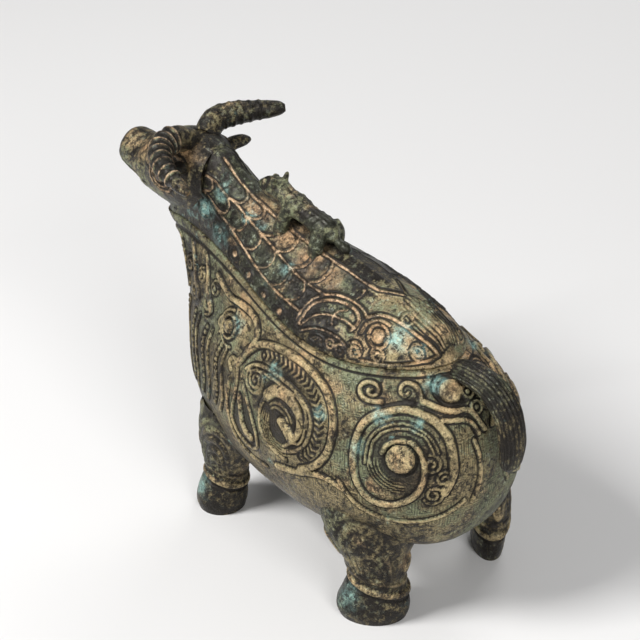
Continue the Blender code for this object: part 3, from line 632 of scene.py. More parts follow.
# Lines, as points and then width, height, trench and, where it changes, the width at the end.
LINES = (
    (SHOULDER_RIDGE, 2.5, 0.9, 0.45),
    (SHOULDER_CURL, 4.6, 0.75, 0.6, 2.4),
    (SHOULDER_LEAF, 3.0, 1.1, 0.7, 3.8),
    (((79.5, 60.5), (77.6, 57), (77, 53.5), (77.6, 49.5), (80, 46.3), (84.5, 44.3), (91, 43.6)),
     1.3, 0.55, 0.5),
    (BROW_RIDGE, 1.7, 0.8, 0.45, 2.4),
    (((61.5, 52), (60, 47), (59.3, 42.5), (62, 38.8), (66.5, 37.3), (72, 37.6), (75, 40.5), (74.5, 45.5),
      (72, 50.5), (68.5, 55), (65.5, 58.5)), 1.2, 0.55, 0.45),
    (((64.5, 53.5), (65.5, 48.5), (66.5, 45), (68.5, 42.3), (71.3, 41.3)), 1.4, 0.8, 0.45, 2.8),
    (((57.5, 56), (56.5, 48), (57, 42), (59.5, 36.5), (64.5, 33.5), (71, 32.8), (79, 34)), 1.3, 0.55),
    (((61.5, 53), (62.3, 57), (62, 60.5), (60.4, 62.8), (58, 62.8), (56.4, 60.6), (57.8, 58.6)),
     1.2, 0.5, 0.5),
    (BELLY_RIDGE, 2.4, 0.85, 0.4, 1.6),
    (((8, 20), (8.5, 40), (8.5, 60), (7, 80)), 1.3, 0.5),
    (HAUNCH_SPIRAL, 1.6, 0.85, 0.55, 3.2),
    (((129.5, 77), (125.7, 76.7), (123.2, 77.8), (122.8, 80.4), (124.6, 83), (127.4, 84.3), (129.6, 83.3),
      (129.5, 80.9), (127.8, 79.2), (126, 79.2), (125.9, 80.9), (127.4, 81.4)), 1.8, 0.6, 0.5, 1.1),
    (((143.8, 77.4), (143.7, 82), (142.4, 84.4), (140.2, 85.3), (138, 83.5), (137.2, 81.1), (138.4, 79.9),
      (139.9, 81.1)), 1.9, 0.6, 0.5, 1.1),
    (RUMP_RIDGE, 2.2, 0.8, 0.5, 1.6),
    (((149, 70.6), (153, 70), (157, 69.3), (160.3, 67.4), (162.8, 63.6)), 1.5, 0.65),
    (((160.5, 62), (162.5, 56), (162.5, 48), (160, 41)), 1.5, 0.6),
    (((114, 46.5), (117.5, 42), (123, 38), (132, 35.6), (142, 36), (150, 38.5), (157, 42.5)), 1.4, 0.55),
)
# Curls, as girth, climb, outer and inner radius, angle, turns, then width, height and trench.
CURLS = (
    (73, 62.6, 5.2, 0.8, 115.0, 2.4, 1.0, 0.5, 0.45),
    (145, 57.3, 3.4, 0.5, 100.0, -1.5, 0.8, 0.42, 0.4),
    (146, 46.8, 3.6, 0.7, 210.0, 1.7, 0.9, 0.4, 0.45),
    (149, 52.4, 2.6, 0.6, 60.0, 1.3, 0.9, 0.45, 0.4),
)
# Places that no rubbing reached, as girth, climb, reach and strength.
SHADES = (
    (90, 59, 15.0, 0.55), (*EYE, 6.5, 0.5), (67, 46, 11.0, 0.5), (135, 57, 13.0, 0.45), (163, 75, 9.0, 0.12),
)
FEATHER_ROW = (
    (77, 72.3), (83, 74.4), (90, 75.6), (97, 75.4), (101.3, 73.3), (104, 68.3), (105.4, 63), (105, 57.5),
    (102.5, 52), (98, 48.2),
)
RUMP_GROOVE = (
    (165, 84.2), (161.5, 86), (157.4, 87.2), (153, 87.5), (150, 85.4), (148.6, 82.5), (149, 79), (151, 76.4),
    (154, 75.1), (158, 74.8), (161.5, 75.7),
)
BEAD_ROWS = 17.0, 26.5, 36.0, 46.0
BEAD_SWAY = 0.0, 1.6, 0.0, -1.4, 0.6
NECK_LEAVES = 10.0, 20.5, 31.0, 41.0
ON_SPOT = 0.0, 0.0


def draw_curl(relief, girth, climb, outer, inner, angle, turns, *section):
    path = wall_patch(girth, climb).draw(spiral(ON_SPOT, outer, inner, angle, turns))
    relief.line(path, *section)


def draw_shoulder(relief):
    """The feathers and the double arm of the scroll, and the eye in front of it."""
    relief.feathers(wall_path(*FEATHER_ROW), 1.9, pitch=2.2, slant=0.7, height=0.5)
    for inset, width in ((0.0, 1.3), (1.9, 1.0)):
        arm = wall_path(
            (67 + inset, 63.5), (71, 66.5 - inset), (76, 68.5 - inset), (82, 69.3 - inset),
            (88, 69.6 - inset), (93, 69.2 - inset), (97.5 - inset, 67.3), (100.7 - inset, 65),
            (102 - inset, 61.5), (101.5 - inset, 57), (99.5 - inset, 53), (96 - inset, 49.5 + inset),
            (90, 46.5 + inset),
        )
        relief.line(arm, width, height=0.55, trench=0.5)
    lower = wall_path((80.6, 57), (80, 53), (81.3, 49.5), (85, 47), (90, 46.6), (94, 48.5))
    relief.band(lower, 2.1, 4, height=0.45)
    relief.band(wall_path((82, 58), (84.5, 60), (88, 60.6), (91.5, 59.4), (93.4, 57)), 1.5, 2, height=0.4)
    face = wall_patch(*EYE)
    relief.dome(face.centre + (0.0, 2.6, 0.6), 8.5, 1.0)
    relief.line(face.draw(spiral((0.6, 0.0), 6.0, 6.6, 100.0, 0.55)), width=1.0, height=0.4)
    relief.line(face.draw(ring(ON_SPOT, 4.0)), width=1.0, height=0.55, trench=0.6)
    relief.knob(face.centre, EYE_RADIUS, 1.1, trench=0.8)


def draw_chest(relief):
    """Swaying bead rows with a line beside each, and leaves on the neck above them."""
    for girth in BEAD_ROWS:
        lean = 0.10 * (girth - 10.0)
        foot, top = 36.0 + 0.12 * girth, 66.0 - 0.06 * girth
        quarter = (top - foot) / 4.0
        row = [(girth + lean * k / 4.0 + sway, foot + quarter * k) for k, sway in enumerate(BEAD_SWAY)]
        relief.beads(wall_path(*row), pitch=2.2, radius=1.0, height=0.45, trench=0.5)
        edge = [(across + 4.2, up * 1.08 - 4.0) for across, up in row]
        relief.line(wall_path(*edge), width=1.4, end_width=0.8, height=0.45)
        draw_curl(relief, girth + lean, top + 6.5, 3.2, 0.8, -90.0, 1.5, 0.9, 0.45, 0.45)
        relief.shade(wall_patch(girth + lean, top - 8.0).centre, 8.0, 0.35)
    for girth in NECK_LEAVES:
        leaf = wall_path((girth, 70), (girth - 1.6, 75), (girth - 0.6, 80), (girth + 1.2, 86))
        relief.line(leaf, width=2.6, end_width=0.8, height=0.6)
        draw_curl(relief, girth + 4.6, 78.0, 2.8, 0.7, 90.0, 1.4, 0.9, 0.45, 0.45)


def draw_haunch(relief):
    """What fills the great spiral, the knobs, and the rings behind it."""
    knob = wall_patch(*HAUNCH_KNOB)
    relief.knob(knob.centre, HAUNCH_KNOB_RADIUS, 1.2, trench=0.9, flatness=5.0)
    for inset in (0.0, 1.5):
        arm = wall_path(
            (123.3 + inset, 56), (124 + inset, 62.3), (126 + inset / 2, 66 - inset), (129, 68.2 - inset),
            (133, 69.8 - inset), (137, 70 - inset), (140.7, 68.5 - inset), (144.5 - inset, 65.6),
            (147.2 - inset, 61),
        )
        relief.line(arm, width=0.9, height=0.42, trench=0.5)
    relief.band(knob.draw(spiral(ON_SPOT, 9.2, 10.4, 178.0, 0.30)), 2.3, 4, height=0.5)
    relief.groove(wall_path((130.5, 75.9), (134.5, 77.2), (138.5, 78), (141.5, 77.2)), width=0.8, depth=0.5)
    relief.groove(wall_path(*RUMP_GROOVE), width=1.1, depth=0.8)
    relief.knob(wall_patch(155.5, 80).centre, 3.9, 1.0, trench=0.3)
    for girth, climb in ((163.2, 77.8), (164.6, 71.6)):
        patch = wall_patch(girth, climb)
        relief.line(patch.draw(ring(ON_SPOT, 2.0)), width=0.9, height=0.45, trench=0.6)
        relief.knob(patch.centre, 0.9, 0.4, trench=0.4)


LIP_LINE = RIM_CLIMB - 3.4
# Earth and copper salts on the wall, as girth, climb and radius.
EARTH_SPOTS = ((89, 65, 5.0), (135, 59, 4.5), (156, 80, 4.0), (66, 82, 6.0), (130, 77, 5.0), (98, 81, 7.0),
               (162, 84, 6.0), (152, 73, 5.0), (112, 78, 5.0))
BLOOM_SPOTS = ((61, 74, 4.0), (83, 70, 3.6), (120, 60, 3.4), (128, 72, 3.4), (150, 84, 4.0), (140, 70, 2.5),
               (105, 66, 3.0))


def body_half(name, side, drift, seed):
    """One half of the body. The halves meet without a step, as the mould's did, and only the wear differs."""
    beyond = [body_points[:, k:k + 1] * RIGHT for k in (1, -2)]
    normals = surface_normals(np.concatenate([beyond[0], body_points, beyond[1]], 1))[:, 1:-1]
    relief = Relief(body_points, normals, seed)
    for line, *section in LINES:
        relief.line(wall_path(*line), *section)
    for curl in CURLS:
        draw_curl(relief, *curl)
    for girth, climb, reach, strength in SHADES:
        relief.shade(wall_patch(girth, climb).centre, reach, strength)
    draw_shoulder(relief)
    draw_chest(relief)
    draw_haunch(relief)
    girth, climb = np.moveaxis(body_chart, -1, 0)
    lip_groove = 0.5 * fade(0.3, 0.9, np.abs(climb - LIP_LINE))
    relief.sink_to(EVERYWHERE, lip_groove.ravel())
    off_seam = smoothstep(0.0, 4.0, np.minimum(girth, HALF_GIRTH - girth)).ravel()
    relief.form += off_seam * wear(relief.points, seed + 2, (0.16, 7.0), (0.07, 2.2))
    row = np.arange(len(body_points))[:, None]
    outer = (row >= BELLY_ROWS) & (row < BELLY_ROWS + OUTER_ROWS)
    sooty = row >= BELLY_ROWS + OUTER_ROWS + BRIGHT_LIP_ROWS
    keep = outer * smoothstep(2.0, 12.0, climb) * fade(RIM_CLIMB - 1.6, RIM_CLIMB - 0.6, climb)
    points, masks = relief.finished(keep)
    masks["ground"] *= smoothstep(24.0, 32.0, climb) * fade(RIM_CLIMB - 8.0, RIM_CLIMB - 5.0, climb)
    masks["hollow"] = np.maximum(masks["hollow"], SOOT * sooty)
    # Painted shade: the wall turns darker low on the belly, where shade falls under the body. It is also
    # darker towards the chest.
    masks["bare_and_painted_shade"] = 0.4 * fade(30.0, 62.0, girth) + 0.5 * fade(20.0, 40.0, climb)
    for mask, spots in (("dust", EARTH_SPOTS), ("azure", BLOOM_SPOTS)):
        placed = [(on_wall(girth + drift, climb - drift / 2.0), radius) for girth, climb, radius in spots]
        masks[mask] = blotches(points, placed, seed + len(mask))
    return place_object(name, grid_mesh(name, points * side, masks, body_chart))


vessel_halves = [
    body_half("vessel_skin_left", LEFT, 0.0, 61),
    body_half("vessel_skin_right", RIGHT, -7.0, 71),
]
print("vessel skin:", [len(half.data.polygons) for half in vessel_halves], "faces")

# %% [markdown]
# ## Lid
# The lid is a long arch: round over the neck, and sharpened to a crest behind it. Each cross-section is
# one closed line, over the top from the left edge to the right and back along the inside, so the whole
# casting is a grid of sections from the neck to the rump. The top of the arch is spaced evenly by length,
# because relief needs even faces.

# %% Lid skin
LID_CROWN = (
    (-66.1, 100.2), (-63.0, 108.5), (-56.0, 121.0), (-47.0, 129.0), (-39.0, 129.8),
    (-31.0, 124.5), (-23.0, 121.0), (-8.0, 117.4), (8.0, 115.0), (24.0, 113.4),
    (36.0, 111.2), (46.0, 109.0), (54.0, 106.2), (61.0, 102.8), (66.1, 94.75),
)
NECK_ARCH, BACK_ARCH = 1.0, 1.48
NECK_ARCH_END, BACK_ARCH_START = -48.0, -15.0
LID_SECTIONS = 270
ARCH_STEPS, INSIDE_STEPS, ARCH_SAMPLES = 190, 36, 361
FLANGE_OUT, FLANGE_IN, FLANGE_DROP = WALL + 0.8, WALL + 2.6, 5.0
NECK_DROP, FLANGE_FADE = 0.2, (0.22, 0.50)
OFF_THE_TOP = 99.0


def crown_height(y):
    return curve_at(LID_CROWN, y)


def rim_height(y):
    share = np.clip((y - RIM_FRONT) / (RIM_REAR - RIM_FRONT), 0.0, 1.0)
    return RIM[0] + lift(RIM[4], RIM[5], share)


def arch_power(y):
    return NECK_ARCH + (BACK_ARCH - NECK_ARCH) * smoothstep(NECK_ARCH_END, BACK_ARCH_START, y)


def lid_edge(turn, depth):
    """Half width and y of the lid's outline at a turn, drawn in by depth."""
    x, y, _ = wall_point(RIM, turn, depth)
    return abs(x), y


def arch(half_width, y, wall, count):
    """The arch at y from the left edge to the right, in steps of equal length."""
    turn = np.linspace(0.0, math.pi, ARCH_SAMPLES)
    power = arch_power(y)
    edge = rim_height(y) + FIT_GAP
    rise = max(crown_height(y) - wall - edge, 0.0)
    cosine = np.cos(turn)
    line = np.stack([
        half_width * np.sign(cosine) * np.abs(cosine) ** power,
        np.full_like(turn, y),
        edge + rise * np.sin(turn) ** power,
    ], -1)
    way = way_along(line)
    even = np.linspace(0.0, way[-1], count + 1)
    return read_at(even, way, line), way[-1] / 2.0 - even


def lid_section(turn):
    """One closed cross-section of the lid, with the way from the crest at each of its points."""
    top, across = arch(*lid_edge(turn, LID_SET_BACK), 0.0, ARCH_STEPS)
    inside, _ = arch(*lid_edge(turn, FLANGE_IN), LID_WALL, INSIDE_STEPS)
    fall = NECK_DROP + (FLANGE_DROP - NECK_DROP) * smoothstep(*FLANGE_FADE, (1.0 - math.cos(turn)) / 2.0)
    half_out, y_out = lid_edge(turn, FLANGE_OUT)
    half_in, y_in = lid_edge(turn, FLANGE_IN)
    edge_out, edge_in = rim_height(y_out) + FIT_GAP, rim_height(y_in) + FIT_GAP
    flange = np.array((
        (half_out, y_out, edge_out), (half_out, y_out, edge_out - fall), (half_in, y_in, edge_in - fall),
    ))
    section = np.concatenate([top, flange * RIGHT, inside[::-1], flange[::-1], top[:1]])
    spare = np.full(len(section) - len(across), OFF_THE_TOP)
    return section, np.concatenate([across, spare])


def lid_grid():
    turns = np.linspace(0.0, math.pi, SAMPLES)
    edge_y = np.array([lid_edge(turn, LID_SET_BACK)[1] for turn in turns])
    way = way_along(np.stack([edge_y, crown_height(edge_y)], -1))
    even = np.interp(np.linspace(0.0, way[-1], LID_SECTIONS + 1), way, turns)
    points, across = zip(*(lid_section(turn) for turn in even))
    return np.array(points), np.array(across)


def lid_height(x, y):
    """Height of the lid's surface over points of its plan, for what stands on it."""
    length = RIM_REAR - RIM_FRONT - 2.0 * LID_SET_BACK
    along = np.clip((y - RIM_FRONT - LID_SET_BACK) / length, 0.001, 0.999)
    turn = np.arccos(1.0 - 2.0 * along)
    half_width = wall_point(np.broadcast_to(RIM, (*np.shape(turn), len(RIM))), turn, LID_SET_BACK)[..., 0]
    power = arch_power(y)
    across = np.clip(np.abs(x) / half_width, 0.0, 1.0) ** (1.0 / power)
    edge = rim_height(y) + FIT_GAP
    return edge + (crown_height(y) - edge) * np.sqrt(1.0 - across * across) ** power


lid_points, lid_across = lid_grid()
outer_columns = ARCH_STEPS + 1
lid_top, lid_top_across = lid_points[:, :outer_columns], lid_across[:, :outer_columns]


def on_lid(drawing):
    """A drawing of (y, way from the crest) laid on the lid's left side."""
    rows = np.interp(drawing[:, 0], lid_top[:, ARCH_STEPS // 2, 1], np.arange(len(lid_top)))
    points = np.empty((len(drawing), 3))
    for k, (row, across) in enumerate(zip(rows, drawing[:, 1])):
        low = min(int(row), len(lid_top) - 2)
        share = row - low
        for axis in range(3):
            ends = [np.interp(-across, -lid_top_across[i], lid_top[i, :, axis]) for i in (low, low + 1)]
            points[k, axis] = ends[0] + (ends[1] - ends[0]) * share
    return points


def lid_spot(spot):
    return on_lid(np.array([spot]))[0]


print("lid grid", lid_points.shape)

# %% [markdown]
# ### Ornament of the lid
# Thin raised lines cover the lid: three long lines on each side with rows of scales between them, small
# scrolls along the edge, and at the rear a dragon's mask with round eyes, brows and curling nostrils.

# %% Ornament of the lid
# Long lines of one side, as (y, way from the crest).
LOWER_LINE = (
    (-58, 17), (-48, 17), (-36, 17.3), (-27, 17), (-18, 19), (-8, 21.6), (2, 23.8), (16, 25),
)
UPPER_LINE = (
    (-42, 11.5), (-35, 10.6), (-27, 9.4), (-18, 10.6), (-8, 12.2), (2, 14.3), (10, 15.8), (21, 16.2),
)
CREST_LINE = (-38, 2.6), (-24, 3.2), (0, 4.4), (28, 5.3), (36, 4.6)
LONG_LINE_POINTS = 140
# Rows of scales, as the lines below and above them and the y of the first and of the end.
SCALE_ROWS = ((LOWER_LINE, UPPER_LINE, -43.5, 9.0), (UPPER_LINE, CREST_LINE, -30.5, 14.0))
SCALE_PITCH, SCALE_LENGTH = 8.5, 3.6
EDGE_SCROLLS = np.arange(-40.0, 12.0, 9.5)
# Lines of the mask, as points and then width and height.
MASK_LINES = (
    (((15.5, 27.5), (16.3, 23), (18.5, 18.5), (23, 14.8), (28, 13), (33, 12.4), (36.5, 13), (38.4, 14)),
     1.0, 0.6),
    (((38.4, 14), (41, 11.2), (45, 9.3), (50, 8.2), (56, 7.4), (60.5, 6.4), (63, 5.2)), 1.1, 0.6),
    (((63, 5.2), (61.5, 10.5), (57, 16.6), (50, 22.6), (43, 26.4)), 0.9, 0.5),
    (((17, 28.5), (18, 23), (20, 19.3), (25, 15.9), (30, 14.4), (34, 14.4), (36.4, 16), (36.8, 18.2),
      (35.8, 20.4)), 1.3, 0.6),
    (((18, 28.8), (21, 24), (25, 21.2), (29, 19.8), (33, 19), (36, 19.2)), 0.9, 0.5),
    (((31, 16), (28.6, 18), (27.8, 20.6), (28.8, 22.8)), 0.9, 0.5),
    (((19, 30), (23, 27.4), (27, 25.8), (32, 25), (37, 25.6), (40, 27.2)), 1.0, 0.5),
    (((39.4, 19), (39.8, 15.4), (42.4, 12.2), (46.4, 11.4)), 1.0, 0.5),
    (((31, 12.4), (32.4, 9.4), (32, 7)), 0.9, 0.45),
    (((36, 4.6), (38.4, 3.2), (43.5, 0.5)), 0.9, 0.45),
)
# Curls of the mask, as centre, outer radius, angle and turns.
MASK_CURLS = (
    ((40.4, 24.8), 2.7, 200.0, 1.6), ((47.6, 21.4), 2.6, 20.0, -1.6), ((58.4, 11.4), 2.6, -100.0, -1.8),
)
MASK_EYE, MASK_STUDS = (45.2, 16.4), ((31.2, 28.0), (35.2, 27.6))


def draw_scales(relief, mirror):
    """The long lines and the rows of scales, whose round ends point to the rear."""
    for line in (LOWER_LINE, UPPER_LINE, CREST_LINE):
        y = np.linspace(line[0][0], line[-1][0], LONG_LINE_POINTS)
        drawing = np.stack([y, curve_at(line, y)], -1)
        relief.line(on_lid(drawing) * mirror, width=1.0, height=0.55, trench=0.3)
    for below, above, first, beyond in SCALE_ROWS:
        for start in np.arange(first, beyond, SCALE_PITCH):
            end = start + SCALE_LENGTH
            low, high = curve_at(below, start), curve_at(above, end)
            fall = low - high
            arc = (start, low), (start + 4.3, low - 0.25 * fall), (end + 1.9, low - 0.7 * fall), (end, high)
            relief.line(on_lid(curve(arc)) * mirror, width=0.95, height=0.5, trench=0.3)
    for start in EDGE_SCROLLS:
        spot = (start, curve_at(LOWER_LINE, start) + 4.6)
        relief.knob(lid_spot(spot) * mirror, 1.5, 0.7, trench=0.5)
        relief.line(on_lid(spiral(spot, 2.6, 2.9, 190.0, -0.45)) * mirror, width=0.8, height=0.4)


def draw_mask(relief, mirror):
    """The dragon's mask on the rear of the lid."""
    def draw(drawing, *section):
        relief.line(on_lid(drawing) * mirror, *section)

    for points, *section in MASK_LINES:
        draw(curve(points), *section)
    for inset in (1.6, 3.0):
        hook = (22 + inset, 30.5), (24.5 + inset / 2, 28.4 + inset / 3), (28 - inset / 3, 28.6), (28.4, 30.4)
        draw(curve(hook), 0.7, 0.35)
    for across in (1.4, 3.0, 4.6):
        draw(curve(((44 + across, across), (52, across + 0.3), (58, across), (63, 0.7 * across))), 0.8, 0.45)
    for spot in MASK_STUDS:
        draw(ring(spot, 1.5), 0.8, 0.5)
        relief.knob(lid_spot(spot) * mirror, 0.7, 0.4, trench=0.3)
    for centre, radius, angle, turns in MASK_CURLS:
        draw(spiral(centre, radius, 0.6, angle, turns), 0.9, 0.55)
    draw(ring(MASK_EYE, 3.5), 1.0, 0.6, 0.4)
    relief.knob(lid_spot(MASK_EYE) * mirror, 2.5, 1.3, trench=0.6)
    draw(ring((50.0, 5.9), 1.9), 0.8, 0.45)


# Earth lies thick round the tiger's feet, and copper salts bloom in a few places, as y, across and radius.
LID_EARTH_SPOTS = (
    (-18, 5, 7.5), (-4, 7, 7.5), (9, 9, 7.5), (19, 10, 6.0), (-23, 20.5, 2.5), (-53, 3, 6.0),
)
LID_BLOOM_SPOTS = (
    (-15, 9, 2.5), (-30, 23, 4.5), (-39, 22, 5.0), (-46, 21, 3.5), (3, 16, 3.0), (51, 12.5, 5.0),
    (58, 11, 3.0), (-34, 12, 3.2),
)


def lid():
    """The lid with relief on its top. Below the edge it is only dark with soot."""
    there_and_back = np.concatenate([lid_top, lid_top[:, ::-1][:, 1:]], 1)
    relief = Relief(lid_top, surface_normals(there_and_back)[:, :outer_columns], 63)
    for mirror in (LEFT, RIGHT):
        draw_scales(relief, mirror)
        draw_mask(relief, mirror)
    relief.form += wear(relief.points, 3, (0.14, 6.0), (0.06, 2.0))
    edge_way = np.abs(lid_top_across).max(axis=1, keepdims=True) - np.abs(lid_top_across)
    keep = smoothstep(0.2, 1.6, edge_way) * smoothstep(-64.0, -60.0, lid_top[..., 1])
    # The top is part of the grid, so what is laid on the lid from here on lies on the raised surface.
    lid_top[:], top_masks = relief.finished(keep)
    lid_points[:, -1] = lid_points[:, 0]
    masks = {}
    for mask, values in top_masks.items():
        masks[mask] = np.full(lid_points.shape[:2], SOOT if mask == "hollow" else 0.0)
        masks[mask][:, :outer_columns] = values
        masks[mask][:, -1] = values[:, 0]
    for mask, spots, seed in (("dust", LID_EARTH_SPOTS, 7), ("azure", LID_BLOOM_SPOTS, 8)):
        placed = [(lid_spot((y, across)), radius) for y, across, radius in spots]
        masks[mask] = blotches(lid_points, placed, seed)
    y = lid_points[..., 1]
    in_scales = fade(12.0, 26.0, y) * fade(0.0, 3.0, np.abs(lid_across) - curve_at(LOWER_LINE, y))
    # Among the scales the lid is a little less dark. Towards the rear mask the value falls below nought, so
    # the mask turns lighter with a thicker pale bloom. This is partly its paler crust and partly painted
    # light, as if the rear caught the lamps.
    masks["bare_and_painted_shade"] = 0.3 - 0.1 * in_scales - 1.1 * smoothstep(24.0, 42.0, y)
    chart = np.stack([y, lid_across], -1)
    return place_object("lid_skin", grid_mesh("lid_skin", lid_points, masks, chart))


lid_skin = lid()
print("lid skin:", len(lid_skin.data.polygons), "faces")

# %% [markdown]
# ## Limbs
# Legs, tail, head, horns and ears are long forms, each drawn as a row of oval sections along a bent line.
# One grid wraps round the sections. Where a limb grows out of a larger casting its rows end just inside
# that casting's wall, and the last millimetres flare a little, as a founder smooths wax over such a join.


# %% Sweeping limbs
def limb_grid(sections, steps, sides, across, level_sections=False, toe_turn=0.0):
    """Points of a limb, row by row, and the angle round it at each column."""
    sections = np.asarray(sections, float)
    fine = through(sections, np.linspace(0.0, len(sections) - 1.0, SAMPLES))
    way = way_along(fine[:, :3])
    even = np.linspace(0.0, way[-1], steps + 1)
    rows = read_at(even, way, fine)
    forward = np.gradient(rows[:, :3], axis=0)
    if level_sections:
        forward = np.tile((0.0, 0.0, 1.0), (len(rows), 1))
    forward /= np.linalg.norm(forward, axis=1, keepdims=True)
    upward = np.cross(forward, across)
    upward /= np.linalg.norm(upward, axis=1, keepdims=True)
    sideways = np.cross(upward, forward)
    angle = np.linspace(0.0, 2.0 * math.pi, sides + 1)
    wide = rows[:, 3, None, None] * np.cos(angle)[None, :, None]
    high = rows[:, 4, None, None] * np.sin(angle)[None, :, None]
    points = rows[:, None, :3] + sideways[:, None] * wide + upward[:, None] * high
    if toe_turn:
        cosine, sine = math.cos(toe_turn), math.sin(toe_turn)
        offset = points - rows[:, None, :3]
        points[..., 0] = rows[:, None, 0] + cosine * offset[..., 0] - sine * offset[..., 1]
        points[..., 1] = rows[:, None, 1] + sine * offset[..., 0] + cosine * offset[..., 1]
    return points, np.degrees(angle), even


def limb_normals(points):
    """Outward directions round a limb, away from its middle line."""
    normal = surface_normals(points)
    outward = points - points[:, :-1].mean(axis=1, keepdims=True)
    return normal * np.sign((normal * outward).sum(axis=(1, 2), keepdims=True))


def limb_skin(name, points, masks):
    """The finished skin of a limb. The squared ground pattern belongs to the vessel's wall alone."""
    masks["ground"][:] = 0.0
    return place_object(name, grid_mesh(name, points, masks))


def trim(points, buried, overlap, flare, flare_length):
    """End each column of a limb where it enters another casting, and flare it just before that."""
    trimmed = points.copy()
    rows = len(points)
    outward = points - points.mean(axis=1, keepdims=True)
    outward /= np.maximum(np.linalg.norm(outward, axis=2, keepdims=True), TINY)
    hidden = buried(points)
    for column in range(points.shape[1]):
        inside = np.flatnonzero(hidden[:, column])
        if not len(inside):
            continue
        way = way_along(points[:, column])
        stop = min(way[inside[0]] + overlap, way[-1])
        even = np.linspace(0.0, stop, rows)
        share = np.clip((even - (stop - overlap - flare_length)) / flare_length, 0.0, 1.0)
        push = read_at(even, way, outward[:, column]) * (flare * share ** 2)[:, None]
        trimmed[:, column] = read_at(even, way, points[:, column]) + push
    return trimmed


def mirrored(sections):
    """The same limb on the ox's right side."""
    return [(-x, *rest) for x, *rest in sections]


def in_body(points):
    """Whether points lie inside the body's outer wall."""
    place = np.interp(points[..., 2], through(BODY_LEVELS, places)[:, 0], places)
    level = through(BODY_LEVELS, place)
    along = np.clip((points[..., 1] - level[..., 2]) / (level[..., 3] - level[..., 2]), 0.0, 1.0)
    half_width = wall_point(level, np.arccos(1.0 - 2.0 * along))[..., 0]
    above_belly = points[..., 2] > BODY_LEVELS[0][0]
    return above_belly & (np.abs(points[..., 0]) < half_width)


def in_lid(points):
    return points[..., 2] < lid_height(points[..., 0], points[..., 1])


ACROSS_OX, ALONG_OX, UPRIGHT = np.eye(3)
print("limb tools ready")

# %% [markdown]
# ### Legs
# The hooves are smooth and dark with a sharp collar above them. Above the collar the legs carry
# nested loops and a raised leaf on each side, and above those they flare into the body. The right rear
# leg was cast slimmer than the left one.

# %% Legs
FRONT_LEG = (
    (18.0, -26.0, 0.0, 8.6, 8.2), (18.0, -26.0, 4.0, 9.2, 9.0), (17.6, -25.0, 11.0, 8.4, 8.2),
    (17.4, -23.5, 17.0, 7.2, 7.6), (18.2, -22.0, 26.0, 8.6, 9.6), (19.0, -19.5, 38.0, 9.5, 12.0),
    (19.0, -18.0, 46.0, 8.0, 11.0),
)
LEFT_REAR_LEG = (
    (23.5, 54.0, 0.0, 8.6, 11.4), (23.5, 54.0, 4.0, 9.4, 12.4), (23.2, 54.6, 11.0, 8.8, 10.8),
    (23.0, 55.2, 17.0, 8.4, 9.4), (23.4, 54.4, 25.0, 9.4, 11.4), (24.0, 52.0, 36.0, 11.0, 15.0),
    (23.0, 50.0, 46.0, 9.0, 14.0),
)
RIGHT_REAR_LEG = (
    (-30.2, 57.0, 0.0, 5.2, 9.6), (-30.2, 57.2, 4.0, 5.8, 10.4), (-30.0, 58.0, 11.0, 6.0, 9.8),
    (-29.6, 58.6, 17.0, 6.4, 9.2), (-28.0, 57.6, 25.0, 8.0, 11.0), (-25.5, 54.0, 36.0, 10.5, 15.0),
    (-23.0, 50.0, 46.0, 9.0, 14.0),
)
FRONT_TOE_TURN, REAR_TOE_TURN = math.radians(12), math.radians(38)
LEG_STEPS, LEG_SIDES = 110, 110
LEG_OVERLAP, LEG_FLARE, LEG_FLARE_LENGTH = 1.6, 1.0, 6.0
COLLAR_HEIGHT, COLLAR_TILT = 14.0, 0.22
SECOND_COLLAR_RISE, COLLAR_GROOVE_DROP = 4.2, 2.0
LOOP_FOOT, LOOP_PITCH = 21.0, 1.6
# The leaves stand on both sides of the loops, in degrees from them.
LEAF_SIDES = -78.0, 78.0
LEAF_HEIGHT, LEAF_TILT = 25.5, 0.04
LEAF_HALF_WIDTH, LEAF_HALF_LENGTH = 2.4, 4.6
MM_PER_DEGREE = 0.15


